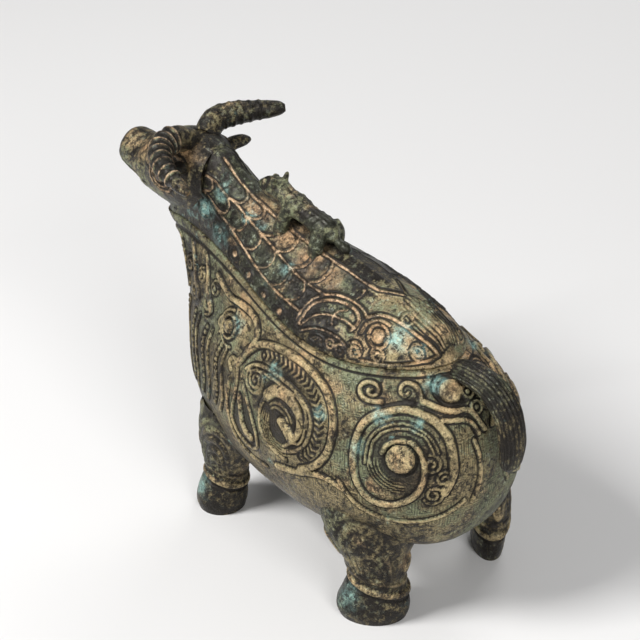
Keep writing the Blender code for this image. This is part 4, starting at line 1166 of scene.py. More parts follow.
def leg(name, sections, toe_turn, seed):
    points, angle, _ = limb_grid(sections, LEG_STEPS, LEG_SIDES, ACROSS_OX, True, toe_turn)
    points = trim(points, in_body, LEG_OVERLAP, LEG_FLARE, LEG_FLARE_LENGTH)
    relief = Relief(points, limb_normals(points), seed)
    lean = relief.points[:, 1] - sections[0][1] - np.abs(relief.points[:, 0]) + abs(sections[0][0])
    height = relief.points[:, 2] + COLLAR_TILT * lean
    turn = np.broadcast_to(angle, relief.shape).ravel()
    outer_side = 0.0 if sections[0][0] > 0 else 180.0
    around = (turn - outer_side + 180.0) % 360.0 - 180.0
    collar = fade(0.5, 1.5, np.abs(height - COLLAR_HEIGHT))
    second = fade(0.3, 1.1, np.abs(height - COLLAR_HEIGHT - SECOND_COLLAR_RISE))
    relief.ridge = np.maximum(0.9 * collar, 0.45 * second)
    relief.cut = 0.5 * fade(0.4, 1.2, np.abs(height - COLLAR_HEIGHT + COLLAR_GROOVE_DROP))
    climb = (height - LOOP_FOOT) * np.where(height > LOOP_FOOT, 0.35, 1.0)
    loop_way = np.hypot(around * MM_PER_DEGREE, climb)
    loops = ripple(loop_way, LOOP_PITCH) * smoothstep(18.5, 20.0, height) * fade(38.0, 44.0, height)
    near_side = fade(6.5, 8.0, np.abs(around * MM_PER_DEGREE))
    relief.raise_to(EVERYWHERE, 0.30 * loops * near_side)
    relief.sink_to(EVERYWHERE, 0.2 * (1.0 - loops) * near_side * smoothstep(19.0, 21.0, height))
    for side in LEAF_SIDES:
        aside = around - side
        up = height - LEAF_HEIGHT - LEAF_TILT * aside
        leaf = np.hypot(aside * MM_PER_DEGREE / LEAF_HALF_WIDTH, up / LEAF_HALF_LENGTH)
        relief.raise_to(EVERYWHERE, np.sqrt(np.clip(1.0 - leaf ** 2, 0.0, 1.0)))
    worn = wear(relief.points, seed, (0.18, 6.0), (0.07, 1.8))
    relief.form += worn * smoothstep(0.3, 2.0, relief.points[:, 2])
    finished, masks = relief.finished(smoothstep(0.2, 1.5, points[..., 2]))
    finished[..., 2] = np.maximum(finished[..., 2], 0.0)
    hoof = fade(COLLAR_HEIGHT - 3.0, COLLAR_HEIGHT + 1.0, height)
    masks["bare_and_painted_shade"] = (0.30 + 0.35 * hoof).reshape(relief.shape)
    x, y = sections[0][:2]
    leaves = [(np.array((x + side * 4.0, y - 9.0 * side, 25.0)), 4.0) for side in (-1.0, 1.0)]
    masks["dust"] = blotches(finished, leaves, seed)
    masks["azure"] = blotches(finished, [(np.array((x * 1.3, y - 3.0, 9.0)), 6.0)], seed + 1)
    return limb_skin(name, finished, masks)


LEGS = {
    "front_left_leg": (FRONT_LEG, FRONT_TOE_TURN, 11),
    "front_right_leg": (mirrored(FRONT_LEG), -FRONT_TOE_TURN, 13),
    "rear_left_leg": (LEFT_REAR_LEG, REAR_TOE_TURN, 15),
    "rear_right_leg": (RIGHT_REAR_LEG, -REAR_TOE_TURN, 17),
}
legs = {node: leg(f"{node}_skin", *drawing) for node, drawing in LEGS.items()}
print("legs:", [len(obj.data.polygons) for obj in legs.values()])

# %% [markdown]
# ### Tail
# The tail springs from the rump below the rim and hangs clear of the body. Cords run along its outer side.

# %% Tail
TAIL = (
    (0.0, 65.6, 91.2, 4.6, 3.2), (0.0, 73.0, 92.7, 4.8, 3.4), (0.0, 81.8, 91.4, 5.0, 3.6),
    (0.0, 88.4, 85.4, 5.0, 3.8), (0.0, 91.0, 76.5, 4.9, 3.6), (0.0, 91.0, 69.5, 4.4, 3.0),
    (0.0, 90.6, 66.0, 3.2, 2.0), (0.0, 90.4, 64.6, 1.4, 0.8),
)
TAIL_STEPS, TAIL_SIDES = 90, 100
TAIL_CORDS, CORD_HEIGHT = 20, 0.24


def tail(seed):
    points, angle, way = limb_grid(TAIL, TAIL_STEPS, TAIL_SIDES, ACROSS_OX)
    relief = Relief(points, limb_normals(points), seed)
    wave = 0.5 + 0.5 * np.cos(np.radians(angle) * TAIL_CORDS)
    relief.ridge = np.tile(CORD_HEIGHT * wave, len(way))
    relief.cut = np.tile(CORD_HEIGHT * (1.0 - wave), len(way))
    relief.form += wear(relief.points, seed, (0.15, 5.0))
    share = np.linspace(0.0, 1.0, len(points))
    keep = smoothstep(0.0, 0.04, share) * fade(0.93, 0.99, share)
    finished, masks = relief.finished(np.repeat(keep, len(angle)))
    masks["raised"] *= 0.5
    masks["bare_and_painted_shade"] = np.full(relief.shape, 0.9)
    return limb_skin("tail_skin", finished, masks)


tail_skin = tail(21)
print("tail:", len(tail_skin.data.polygons), "faces")

# %% [markdown]
# ### Head, horns and ears
# The head is a blunt cylinder with ringed eyes, a mouth line and nostrils. The horns have ridges across
# them, as grown horns do. They are uneven on the real piece: the left one is ringed to near its tip and
# droops, while the right one spreads and its ridges are worn faint.

# %% Head, horns and ears
HEAD = (
    (0.0, -88.6, 114.3, 4.6, 4.4), (0.0, -87.2, 114.2, 6.8, 6.6), (0.0, -84.0, 113.8, 7.6, 7.6),
    (0.0, -78.0, 112.8, 8.2, 8.8), (0.0, -72.0, 112.4, 9.4, 10.8), (0.0, -66.0, 113.4, 10.8, 12.8),
    (0.0, -60.0, 115.2, 12.2, 14.6), (0.0, -54.0, 117.0, 12.8, 15.0), (0.0, -48.0, 118.0, 12.0, 13.6),
    (0.0, -42.0, 118.5, 9.5, 11.0),
)
LEFT_HORN = (
    (3.0, -53.0, 129.0, 4.2, 4.2), (9.0, -53.5, 132.4, 4.5, 4.4), (15.0, -53.0, 132.8, 4.6, 4.2),
    (20.5, -49.5, 132.2, 4.2, 3.8), (24.5, -43.0, 131.2, 3.5, 3.2), (26.0, -36.0, 129.4, 2.7, 2.5),
    (26.2, -31.0, 128.0, 1.9, 1.8), (26.2, -29.4, 127.6, 1.0, 0.9),
)
RIGHT_HORN = (
    (-3.0, -53.0, 129.0, 4.2, 4.2), (-9.0, -54.5, 132.4, 4.5, 4.4), (-15.0, -52.5, 133.2, 4.4, 4.0),
    (-20.5, -49.5, 133.4, 3.9, 3.5), (-25.0, -46.2, 133.6, 3.3, 3.0), (-28.5, -43.2, 133.9, 2.5, 2.3),
    (-30.0, -41.8, 134.1, 1.2, 1.1),
)
EAR = (
    (8.0, -50.0, 123.0, 2.4, 1.8), (12.5, -49.5, 124.0, 3.2, 2.0), (16.5, -48.5, 124.2, 2.8, 1.7),
    (18.8, -48.0, 124.0, 1.2, 0.8),
)
# Brow, cheek and mouth, as (y, degrees up from the side of the head).
BROW = (-66, 20), (-62, 33), (-56, 38), (-51, 34), (-48, 24)
CHEEK = (-70, 30), (-68, 22), (-66, 26), (-67.5, 36), (-70, 32)
MOUTH = (-87, -25), (-82, -28), (-76, -30), (-71, -24)
HEAD_EYE, EYE_RINGS, EYE_STRETCH, EYE_RING_POINTS = (-60.0, 6.0), (3.7, 5.4), 1.3, 60
HEAD_EARTH = (((8, -50, 127), 6.0), ((10, -58, 122), 3.5), ((6, -74, 120), 2.5))
NOSTRIL, NOSTRIL_REAR = (2.9, 115.4), -83.0
NOSTRIL_RADIUS, NOSTRIL_DEPTH = 1.5, 3.0
MUZZLE_RING_Y = -75.0
HEAD_STEPS, HEAD_SIDES = 120, 120
HEAD_OVERLAP, HEAD_FLARE, HEAD_FLARE_LENGTH = 1.2, 0.6, 5.0
HORN_STEPS, HORN_SIDES, HORN_RIDGE_PITCH = 130, 60, 3.3
EAR_STEPS, EAR_SIDES = 40, 44


def on_head(y, degrees):
    """A point of the head's left side."""
    row = through(HEAD, np.interp(y, [row[1] for row in HEAD], np.arange(len(HEAD))))
    turn = math.radians(degrees)
    return np.array((row[3] * math.cos(turn), y, row[2] + row[4] * math.sin(turn)))


def head(seed):
    points, _, _ = limb_grid(HEAD, HEAD_STEPS, HEAD_SIDES, ACROSS_OX)
    points = trim(points, in_lid, HEAD_OVERLAP, HEAD_FLARE, HEAD_FLARE_LENGTH)
    relief = Relief(points, limb_normals(points), seed)
    spots = relief.points
    turn = np.linspace(0.0, 2.0 * math.pi, EYE_RING_POINTS)
    circle = np.stack([0.0 * turn, EYE_STRETCH * np.cos(turn), np.sin(turn)], -1)
    for mirror in (LEFT, RIGHT):
        eye = on_head(*HEAD_EYE) * mirror
        relief.knob(eye, 2.3, 1.1, trench=0.5)
        for radius in EYE_RINGS:
            relief.line(eye + radius * circle, width=1.1, height=0.6, trench=0.4)
        brow, cheek, mouth = (
            curve(np.array([on_head(*spot) for spot in line]) * mirror) for line in (BROW, CHEEK, MOUTH)
        )
        relief.line(brow, width=1.5, height=0.7)
        relief.line(cheek, width=1.0, height=0.5)
        relief.groove(mouth, width=1.0, depth=0.7)
        off_nostril = np.hypot(spots[:, 0] - mirror[0] * NOSTRIL[0], spots[:, 2] - NOSTRIL[1])
        near = (off_nostril < 2.0 * NOSTRIL_RADIUS) & (spots[:, 1] < NOSTRIL_REAR)
        relief.cut[near] = NOSTRIL_DEPTH * fade(0.5 * NOSTRIL_RADIUS, NOSTRIL_RADIUS, off_nostril[near])
    muzzle_ring = 0.3 * fade(0.4, 1.3, np.abs(spots[:, 1] - MUZZLE_RING_Y))
    relief.raise_to(EVERYWHERE, muzzle_ring)
    relief.form += wear(spots, seed, (0.22, 7.0), (0.08, 2.0))
    finished, masks = relief.finished(np.ones(relief.shape))
    masks["bare_and_painted_shade"] = -0.3 * fade(-70.0, -56.0, points[..., 1])
    masks["dust"] = blotches(finished, [(np.array(place), radius) for place, radius in HEAD_EARTH], seed)
    return limb_skin("ox_head_skin", finished, masks)


def horn(name, sections, ridges_end, ridge, seed):
    points, angle, way = limb_grid(sections, HORN_STEPS, HORN_SIDES, UPRIGHT)
    relief = Relief(points, limb_normals(points), seed)
    share = way / way[-1]
    wave = ripple(way, HORN_RIDGE_PITCH) ** 3
    ringed = smoothstep(0.18, 0.24, share) * fade(ridges_end - 0.10, ridges_end, share)
    relief.ridge = np.repeat(ridge * wave * ringed, len(angle))
    relief.cut = np.repeat(0.6 * ridge * (1.0 - wave) * ringed, len(angle))
    relief.form += wear(relief.points, seed, (0.16, 4.0))
    return limb_skin(name, *relief.finished(np.ones(relief.shape)))


def ear(name, sections, seed):
    points, angle, way = limb_grid(sections, EAR_STEPS, EAR_SIDES, ALONG_OX)
    relief = Relief(points, limb_normals(points), seed)
    inner = np.exp(-((angle - 90.0) / 35.0) ** 2)
    relief.cut = np.outer(smoothstep(0.25, 0.6, way / way[-1]), 0.9 * inner).ravel()
    relief.form += wear(relief.points, seed, (0.12, 3.0))
    return limb_skin(name, *relief.finished(np.ones(relief.shape)))


head_pieces = {
    "ox_head": head(31),
    "left_horn": horn("left_horn_skin", LEFT_HORN, 0.90, 0.50, 41),
    "right_horn": horn("right_horn_skin", RIGHT_HORN, 0.85, 0.18, 43),
    "left_ear": ear("left_ear_skin", EAR, 45),
    "right_ear": ear("right_ear_skin", mirrored(EAR), 47),
}
print("head pieces:", [len(obj.data.polygons) for obj in head_pieces.values()])

# %% [markdown]
# ## Tiger
# The knob is a small tiger that walks towards the ox's head. Its limbs are swept one by one, then
# a voxel remesh fuses them, as wax pieces are fused before casting. Smoothing softens the joins, and the
# stripes, eyes and spine are raised last. Heights in the tables are above the crest of the lid. Its hip and
# the knob of its tail are the barest, because fingers pinch it there.

# %% Tiger
TIGER = (
    (0.0, -22.5, 3.6, 1.7, 1.4), (0.0, -20.5, 4.2, 2.7, 2.4), (0.0, -17.0, 5.8, 3.9, 3.6),
    (0.0, -13.0, 6.6, 3.9, 3.4), (0.0, -9.5, 6.0, 3.6, 3.4), (0.0, -5.5, 5.6, 4.3, 4.0),
    (0.0, 0.0, 4.8, 3.9, 3.5), (0.0, 5.0, 4.4, 4.2, 3.8), (0.0, 9.0, 3.8, 4.2, 4.0),
    (0.0, 12.5, 2.6, 2.2, 2.2),
)
TIGER_FORELEG = (
    (3.0, -6.0, 5.5, 2.4, 2.6), (4.4, -7.0, 1.6, 2.2, 2.3), (5.0, -8.0, -2.0, 2.5, 2.7),
    (5.0, -8.2, -6.5, 2.5, 2.7),
)
TIGER_HINDLEG = (
    (3.0, 8.0, 4.6, 2.8, 3.2), (4.6, 8.6, 1.4, 2.4, 2.8), (5.0, 8.0, -2.0, 2.5, 2.7),
    (5.0, 7.8, -6.5, 2.5, 2.7),
)
TIGER_EAR = ((2.0, -13.5, 8.3, 1.3, 1.0), (3.0, -13.4, 11.0, 1.2, 0.8), (3.3, -13.3, 12.2, 0.5, 0.4))
TIGER_TAIL = (
    (0.0, 10.5, 3.4, 1.6, 1.6), (0.0, 14.5, 1.6, 1.5, 1.5), (0.0, 17.0, 1.2, 2.0, 2.0),
    (0.0, 18.8, 0.9, 0.9, 0.9),
)
TIGER_EYE = (2.6, -18.0, 7.4)
TIGER_STEPS, TIGER_SIDES = 40, 32
TIGER_VOXEL, SMOOTHING_PASSES = 0.34, 9
STRIPE_PITCH = 3.0
PAW_DEPTH = 0.8


def tiger_limb(sections):
    raised = [(x, y, z + float(crown_height(y)), side, up) for x, y, z, side, up in sections]
    points, _, _ = limb_grid(raised, TIGER_STEPS, TIGER_SIDES, ACROSS_OX)
    return grid_mesh("tiger_limb", points, {})


def fused_tiger():
    """All limbs of the tiger in one closed mesh of even faces."""
    bm = bmesh.new()
    left = TIGER_FORELEG, TIGER_HINDLEG, TIGER_EAR
    for sections in (TIGER, TIGER_TAIL, *left, *map(mirrored, left)):
        limb = tiger_limb(sections)
        bm.from_mesh(limb)
        bpy.data.meshes.remove(limb)
    rough = show("tiger_rough", mesh_of(bm, "tiger_rough"))
    remesh = rough.modifiers.new("fuse", "REMESH")
    remesh.mode = "VOXEL"
    remesh.voxel_size = TIGER_VOXEL
    bpy.context.view_layer.update()
    fused = bpy.data.meshes.new_from_object(rough.evaluated_get(bpy.context.evaluated_depsgraph_get()))
    bpy.data.objects.remove(rough)
    bm = bmesh.new()
    bm.from_mesh(fused)
    for _ in range(SMOOTHING_PASSES):
        bmesh.ops.smooth_vert(
            bm, verts=bm.verts, factor=0.5, use_axis_x=True, use_axis_y=True, use_axis_z=True,
        )
    bm.to_mesh(fused)
    bm.free()
    return fused


def tiger():
    mesh = fused_tiger()
    count = len(mesh.vertices)
    flat, direction = np.empty(count * 3), np.empty(count * 3)
    mesh.vertices.foreach_get("co", flat)
    mesh.vertex_normals.foreach_get("vector", direction)
    relief = Relief(flat.reshape(1, -1, 3), direction.reshape(1, -1, 3), 53)
    spots = relief.points
    above = spots[:, 2] - crown_height(spots[:, 1])
    back = smoothstep(3.0, 5.0, above)
    trunk = smoothstep(-9.0, -7.0, spots[:, 1]) * fade(10.0, 12.0, spots[:, 1])
    slant = spots[:, 1] + 0.7 * np.abs(spots[:, 0])
    stripes = ripple(slant, STRIPE_PITCH) ** 2 * trunk * back
    relief.ridge = 0.14 * stripes
    relief.cut = 0.10 * (1.0 - stripes) * trunk * back
    off_spine = np.abs(np.abs(spots[:, 0]) - 0.9)
    spine = fade(0.5, 1.0, off_spine) * smoothstep(6.0, 7.0, above) * trunk
    relief.raise_to(EVERYWHERE, 0.25 * spine)
    x, y, z = TIGER_EYE
    for mirror in (LEFT, RIGHT):
        relief.knob(np.array((x, y, crown_height(y) + z)) * mirror, 1.1, 0.7, trench=0.4)
    mouth = np.abs(above - 3.6 - 0.1 * (spots[:, 1] + 22.0)) + 5.0 * smoothstep(-18.5, -17.0, spots[:, 1])
    relief.sink_to(EVERYWHERE, 0.6 * fade(0.3, 0.8, mouth))
    relief.form += wear(spots, 51, (0.12, 3.5))
    finished, masks = relief.finished(np.ones((1, count)))
    finished = finished.reshape(-1, 3)
    floor_height = lid_height(finished[:, 0], finished[:, 1]) - PAW_DEPTH
    finished[:, 2] = np.maximum(finished[:, 2], floor_height)
    mesh.vertices.foreach_set("co", finished.ravel())
    masks["ground"][:] = 0.0
    for mask, values in masks.items():
        paint(mesh, mask, values.ravel())
    hip = smoothstep(6.0, 7.5, above) * smoothstep(1.0, 6.0, spots[:, 1])
    paint(mesh, "bare_and_painted_shade", np.maximum(hip, smoothstep(14.5, 16.0, spots[:, 1])))
    mesh.uv_layers.new(name="chart")
    return place_object("tiger_skin", mesh)


tiger_skin = tiger()
print("tiger:", len(tiger_skin.data.polygons), "faces")

# %% [markdown]
# ## Pan
# The loose pan for ash is turned ware: a profile spun round its axis, then stretched to an oval.

# %% Pan
PAN_CENTRE_Y, PAN_STRETCH = 20.0, 1.9
PAN_PROFILE = (
    (0.01, 30.9), (8.0, 30.9), (8.6, 30.5), (9.6, 30.5), (9.9, 31.0), (9.7, 34.0), (12.4, 36.0), (14.7, 38.0),
    (16.4, 42.0), (17.3, 46.5), (18.0, 51.5), (18.3, 56.0), (18.8, 57.2), (18.6, 57.9), (18.1, 58.0),
    (17.4, 57.8), (16.9, 56.8), (16.5, 55.5), (16.1, 51.5), (15.3, 46.5), (14.4, 42.5), (12.8, 39.6),
    (10.4, 37.6), (7.8, 36.6), (0.01, 36.4),
)
PAN_STEPS, PAN_WELD = 128, 0.02


def pan():
    bm = bmesh.new()
    profile = [bm.verts.new((reach, 0.0, z)) for reach, z in PAN_PROFILE]
    edges = [bm.edges.new(pair) for pair in zip(profile, profile[1:])]
    bmesh.ops.spin(
        bm, geom=profile + edges, cent=(0.0, 0.0, 0.0), axis=(0.0, 0.0, 1.0), angle=2.0 * math.pi,
        steps=PAN_STEPS, use_merge=True,
    )
    bmesh.ops.remove_doubles(bm, verts=bm.verts, dist=PAN_WELD)
    bmesh.ops.scale(bm, vec=(1.0, PAN_STRETCH, 1.0), verts=bm.verts)
    bmesh.ops.translate(bm, vec=(0.0, PAN_CENTRE_Y, 0.0), verts=bm.verts)
    bmesh.ops.recalc_face_normals(bm, faces=bm.faces)
    mesh = mesh_of(bm, "incense_pan_skin")
    heights = np.array([vertex.co.z for vertex in mesh.vertices])
    paint(mesh, "raised", smoothstep(57.0, 58.0, heights))
    paint(mesh, "hollow", fade(36.0, 45.0, heights))
    paint(mesh, "ground", np.zeros(len(heights)))
    mesh.uv_layers.new(name="chart")
    return place_object("incense_pan_skin", mesh)


pan_skin = pan()
print("pan:", len(pan_skin.data.polygons), "faces")

# %% [markdown]
# ## Patina
# Old bronze is dark brown where it was handled, olive and malachite green where it corroded, with azurite
# in a few spots and tan earth that clings to raised lines. One node group lays these coats over each other.
# It reads the masks that the relief left on the vertices, and noise in object space breaks them up. One
# mask also paints shade and light into the colour: darker under the belly, lighter on the lid's rear mask.


# %% Patina node group
def new_group(name, inputs, outputs):
    """A node group from tables of its sockets, with its input and output nodes."""
    group = bpy.data.node_groups.new(name, "ShaderNodeTree")
    for label, kind, default in inputs:
        socket = group.interface.new_socket(label, in_out="INPUT", socket_type=f"NodeSocket{kind}")
        socket.default_value = default
    for label, kind in outputs:
        group.interface.new_socket(label, in_out="OUTPUT", socket_type=f"NodeSocket{kind}")
    return group, group.nodes.new("NodeGroupInput"), group.nodes.new("NodeGroupOutput")


class Wiring:
    """Short names for the nodes that the patina is wired from."""

    def __init__(self, tree):
        self.tree = tree

    def put(self, socket, value):
        if isinstance(value, bpy.types.NodeSocket):
            self.tree.links.new(value, socket)
        else:
            socket.default_value = value

    def node(self, kind, output, entries, **settings):
        """A new node with its settings and inputs filled in, as the socket that it gives out."""
        node = self.tree.nodes.new(f"ShaderNode{kind}")
        for name, setting in settings.items():
            setattr(node, name, setting)
        for label, entry in entries.items():
            self.put(node.inputs[label], entry)
        return node.outputs[output]

    def math(self, operation, *values, clamp=False):
        return self.node("Math", 0, dict(enumerate(values)), operation=operation, use_clamp=clamp)

    def times(self, first, second, clamp=False):
        return self.math("MULTIPLY", first, second, clamp=clamp)

    def line(self, value, slope, start, clamp=False):
        """Start plus slope times value."""
        return self.math("MULTIPLY_ADD", value, slope, start, clamp=clamp)

    def most(self, first, second):
        return self.math("MAXIMUM", first, second)

    def rest(self, value):
        return self.math("SUBTRACT", 1.0, value)

    def window(self, value, low, high, to_low=0.0, to_high=1.0):
        """A smooth step of value between low and high."""
        entries = {"Value": value, "From Min": low, "From Max": high, "To Min": to_low, "To Max": to_high}
        return self.node("MapRange", "Result", entries, interpolation_type="SMOOTHSTEP")

    def noise(self, vector, scale, detail=4.0, roughness=0.55, distortion=0.0):
        entries = {"Vector": vector, "Scale": scale, "Detail": detail, "Roughness": roughness}
        return self.node("TexNoise", "Fac", {**entries, "Distortion": distortion})

    def mix(self, share, under, over, blend="MIX"):
        return self.node("Mix", 2, {0: share, 6: under, 7: over}, data_type="RGBA", blend_type=blend)

    def shift(self, vector, *offset):
        """The same vector moved on, by a socket or by three numbers."""
        entry = offset[0] if len(offset) == 1 else offset
        return self.node("VectorMath", 0, {0: vector, 1: entry}, operation="ADD")


BROWN_BLACK = (0.020, 0.017, 0.014, 1.0)
OLIVE = (0.31, 0.25, 0.13, 1.0)
MALACHITE = (0.16, 0.19, 0.11, 1.0)
PALE_BLOOM = (0.48, 0.53, 0.40, 1.0)
AZURITE = (0.32, 0.55, 0.50, 1.0)
EARTH = (0.55, 0.39, 0.21, 1.0)
RUST_EARTH = (0.50, 0.285, 0.14, 1.0)
COPPER_TAN = (0.72, 0.50, 0.31, 1.0)
OLIVE_TAN = (0.57, 0.44, 0.235, 1.0)
NOWHERE = (0.0, 0.0, 0.0)
MASKS = "Raised", "Hollow", "Ground", "Bare_And_Painted_Shade", "Dust", "Azure"
COATS = "Olive", "Green", "Azurite", "Earth", "Rubbed"


def patina_group():
    floats = [*MASKS, "Meander", *(f"{coat} Amount" for coat in COATS)]
    inputs = [(label, "Float", 0.0) for label in floats]
    inputs += [("Rubbed Color", "Color", COPPER_TAN), ("Seed", "Vector", NOWHERE)]
    outputs = ("Color", "Color"), ("Roughness", "Float"), ("Metallic", "Float"), ("Height", "Float")
    group, given, made = new_group("patina", inputs, outputs)
    wire = Wiring(group)
    raised, hollow, ground, bare_and_painted_shade, dust, azure = (given.outputs[label] for label in MASKS)
    olive, green, azurite, earth, rubbed = (given.outputs[f"{coat} Amount"] for coat in COATS)
    here = wire.shift(wire.node("TexCoord", "Object", {}), given.outputs["Seed"])
    broad = wire.noise(here, 42.0, 3.0)
    middle = wire.noise(wire.shift(here, 0.31, 0.17, 0.05), 170.0, 6.0, 0.68, 0.6)
    speck = wire.noise(wire.shift(here, 0.07, 0.41, 0.22), 620.0, 5.0, 0.75)
    grit = wire.noise(here, 1700.0, 3.0, 0.7)

    # Olive over brown: the brown shows through in patches and in fine pits.
    olive_level = wire.line(bare_and_painted_shade, 0.10, wire.rest(olive))
    mottle = wire.line(speck, 0.5, wire.times(middle, 0.5))
    olive_edge = wire.math("SUBTRACT", olive_level, 0.05), wire.math("ADD", olive_level, 0.07)
    olive_share = wire.window(mottle, *olive_edge)
    colour = wire.mix(olive_share, BROWN_BLACK, OLIVE)

    # Broad stains, darker where more metal shows and where shade is painted in.
    stain = wire.noise(wire.shift(here, 0.62, 0.33, 0.91), 60.0, 5.0, 0.62, 0.5)
    stain = wire.window(stain, 0.42, 0.62, 0.0, 0.55)
    colour = wire.mix(wire.line(bare_and_painted_shade, 0.35, stain, clamp=True), colour, BROWN_BLACK)

    # Malachite in broad clouds, with a pale bloom on it in crumbs.
    green_level = wire.rest(green)
    cloud = wire.line(broad, 0.55, wire.times(mottle, 0.45))
    green_share = wire.window(cloud, green_level, wire.math("ADD", green_level, 0.08))
    green_share = wire.times(green_share, wire.line(olive_share, 0.60, 0.20))
    green_share = wire.times(green_share, wire.line(bare_and_painted_shade, -0.55, 1.0, clamp=True))
    colour = wire.mix(green_share, colour, MALACHITE)
    crumbs = wire.noise(wire.shift(here, 0.47, 0.05, 0.66), 480.0, 5.0, 0.78)
    crumbs = wire.times(wire.window(crumbs, 0.55, 0.66), wire.window(cloud, 0.44, 0.56, 0.15, 0.85))
    crumbs = wire.times(wire.times(crumbs, green), wire.most(wire.rest(bare_and_painted_shade), 1.0), clamp=True)
    colour = wire.mix(crumbs, colour, PALE_BLOOM)

    # Earth from the ground that it lay in, in drifts of its own and thick where the masks say so.
    earth_level = wire.line(bare_and_painted_shade, 0.14, wire.rest(earth))
    drift = wire.noise(wire.shift(here, 0.83, 0.12, 0.37), 80.0, 6.0, 0.66, 0.4)
    dusty = wire.window(drift, earth_level, wire.math("ADD", earth_level, 0.16), 0.0, 0.80)
    dusty = wire.most(dusty, wire.times(dust, wire.window(mottle, 0.40, 0.60, 0.15, 0.85)))
    rusty = wire.most(wire.window(broad, 0.52, 0.66), wire.times(dust, 0.65))
    colour = wire.mix(dusty, colour, wire.mix(rusty, EARTH, RUST_EARTH))

    # Fine squared lines of the ground, dark where they are cut and half worn away.
    legible = wire.window(middle, 0.40, 0.62, 0.25, 0.85)
    fine_lines = wire.times(wire.times(ground, given.outputs["Meander"]), legible)
    colour = wire.mix(wire.times(fine_lines, 0.75), colour, BROWN_BLACK)

    # Dark in the hollows, and rubbed bright on what is raised, here warmer and there paler.
    sunk = wire.window(wire.line(mottle, -0.40, hollow), -0.12, 0.40, 0.0, 0.96)
    colour = wire.mix(sunk, colour, BROWN_BLACK)
    worn = wire.times(wire.window(raised, 0.40, 1.0), wire.window(mottle, 0.40, 0.56, 0.10, 1.0))
    worn = wire.times(wire.times(worn, wire.window(cloud, 0.42, 0.54, 0.40, 1.0)), rubbed)
    warm = wire.window(drift, 0.46, 0.60, 0.0, 0.60)
    colour = wire.mix(worn, colour, wire.mix(warm, given.outputs["Rubbed Color"], RUST_EARTH))

    # Turquoise copper salts over everything else, in crumbs.
    azurite_level = wire.rest(azurite)
    blue = wire.noise(wire.shift(here, 0.53, 0.29, 0.61), 95.0, 6.0, 0.70)
    blue = wire.most(wire.window(blue, azurite_level, wire.math("ADD", azurite_level, 0.15)), azure)
    colour = wire.mix(wire.times(blue, wire.window(mottle, 0.40, 0.60, 0.05, 0.80)), colour, AZURITE)

    # Pits in the crust, and a grain of light and dark.
    pits = wire.noise(wire.shift(here, 0.19, 0.71, 0.43), 560.0, 5.0, 0.78)
    pitted = wire.window(wire.line(drift, 0.5, pits), 0.77, 0.86, 0.0, 0.88)
    colour = wire.mix(pitted, colour, BROWN_BLACK)
    shade = wire.window(grit, 0.28, 0.72, 0.55, 1.45)
    grey = wire.node("CombineColor", 0, {0: shade, 1: shade, 2: shade})
    wire.put(made.inputs["Color"], wire.mix(1.0, colour, grey, "MULTIPLY"))

    # Powdery coats are rough and dull, and the crust stands a little above its pits and lines.
    powder = wire.most(wire.most(crumbs, green_share), wire.most(worn, dusty))
    wire.put(made.inputs["Roughness"], wire.line(powder, 0.22, wire.window(speck, 0.3, 0.7, 0.30, 0.46)))
    wire.put(made.inputs["Metallic"], wire.line(powder, -0.40, 0.45, clamp=True))
    crust = wire.line(speck, 0.7, wire.times(grit, 0.5))
    crust = wire.math("SUBTRACT", crust, wire.times(pitted, 0.5))
    wire.put(made.inputs["Height"], wire.math("SUBTRACT", crust, fine_lines))
    return group


def meander_group():
    """Squared spirals that fill the ground: rings round the middle of each cell, cut by a step."""
    inputs = ("Chart", "Vector", NOWHERE), ("Cell", "Float", 6.4), ("Pitch", "Float", 1.05)
    group, given, made = new_group("meander", inputs, (("Lines", "Float"),))
    wire = Wiring(group)
    split = group.nodes.new("ShaderNodeSeparateXYZ")
    wire.put(split.inputs[0], given.outputs["Chart"])
    along, up = split.outputs[0], split.outputs[1]
    cell, pitch = given.outputs["Cell"], given.outputs["Pitch"]
    half_cell = wire.times(cell, 0.5)
    row = wire.math("FLOOR", wire.math("DIVIDE", up, cell))
    stagger = wire.times(wire.math("FLOORED_MODULO", row, 2.0), half_cell)
    first = wire.math("FLOORED_MODULO", wire.math("ADD", along, stagger), cell)
    first = wire.math("SUBTRACT", first, half_cell)
    second = wire.math("SUBTRACT", wire.math("FLOORED_MODULO", up, cell), half_cell)
    square = wire.most(wire.math("ABSOLUTE", first), wire.math("ABSOLUTE", second))
    step = wire.times(wire.math("GREATER_THAN", first, 0.0), wire.times(pitch, 0.5))
    turn = wire.times(wire.math("DIVIDE", wire.math("ADD", square, step), pitch), 2.0 * math.pi)
    wire.put(made.inputs["Lines"], wire.window(wire.math("COSINE", turn), -0.35, 0.45))
    return group


PATINA, MEANDER = patina_group(), meander_group()
print("node groups:", PATINA.name, MEANDER.name)

# %% [markdown]
# ## Finishes
# Each casting takes the same patina with its own amounts: the lid is darker with bright lines, the body
# greener and dustier, the hooves bare and dark, the tiger crusted with green, the pan brown from smoke.
# The squared ground pattern runs over the vessel alone.


# %% Finishes
CRUST_BUMP, CRUST_DEPTH = 0.55, 0.0004
SPECULAR = 0.3


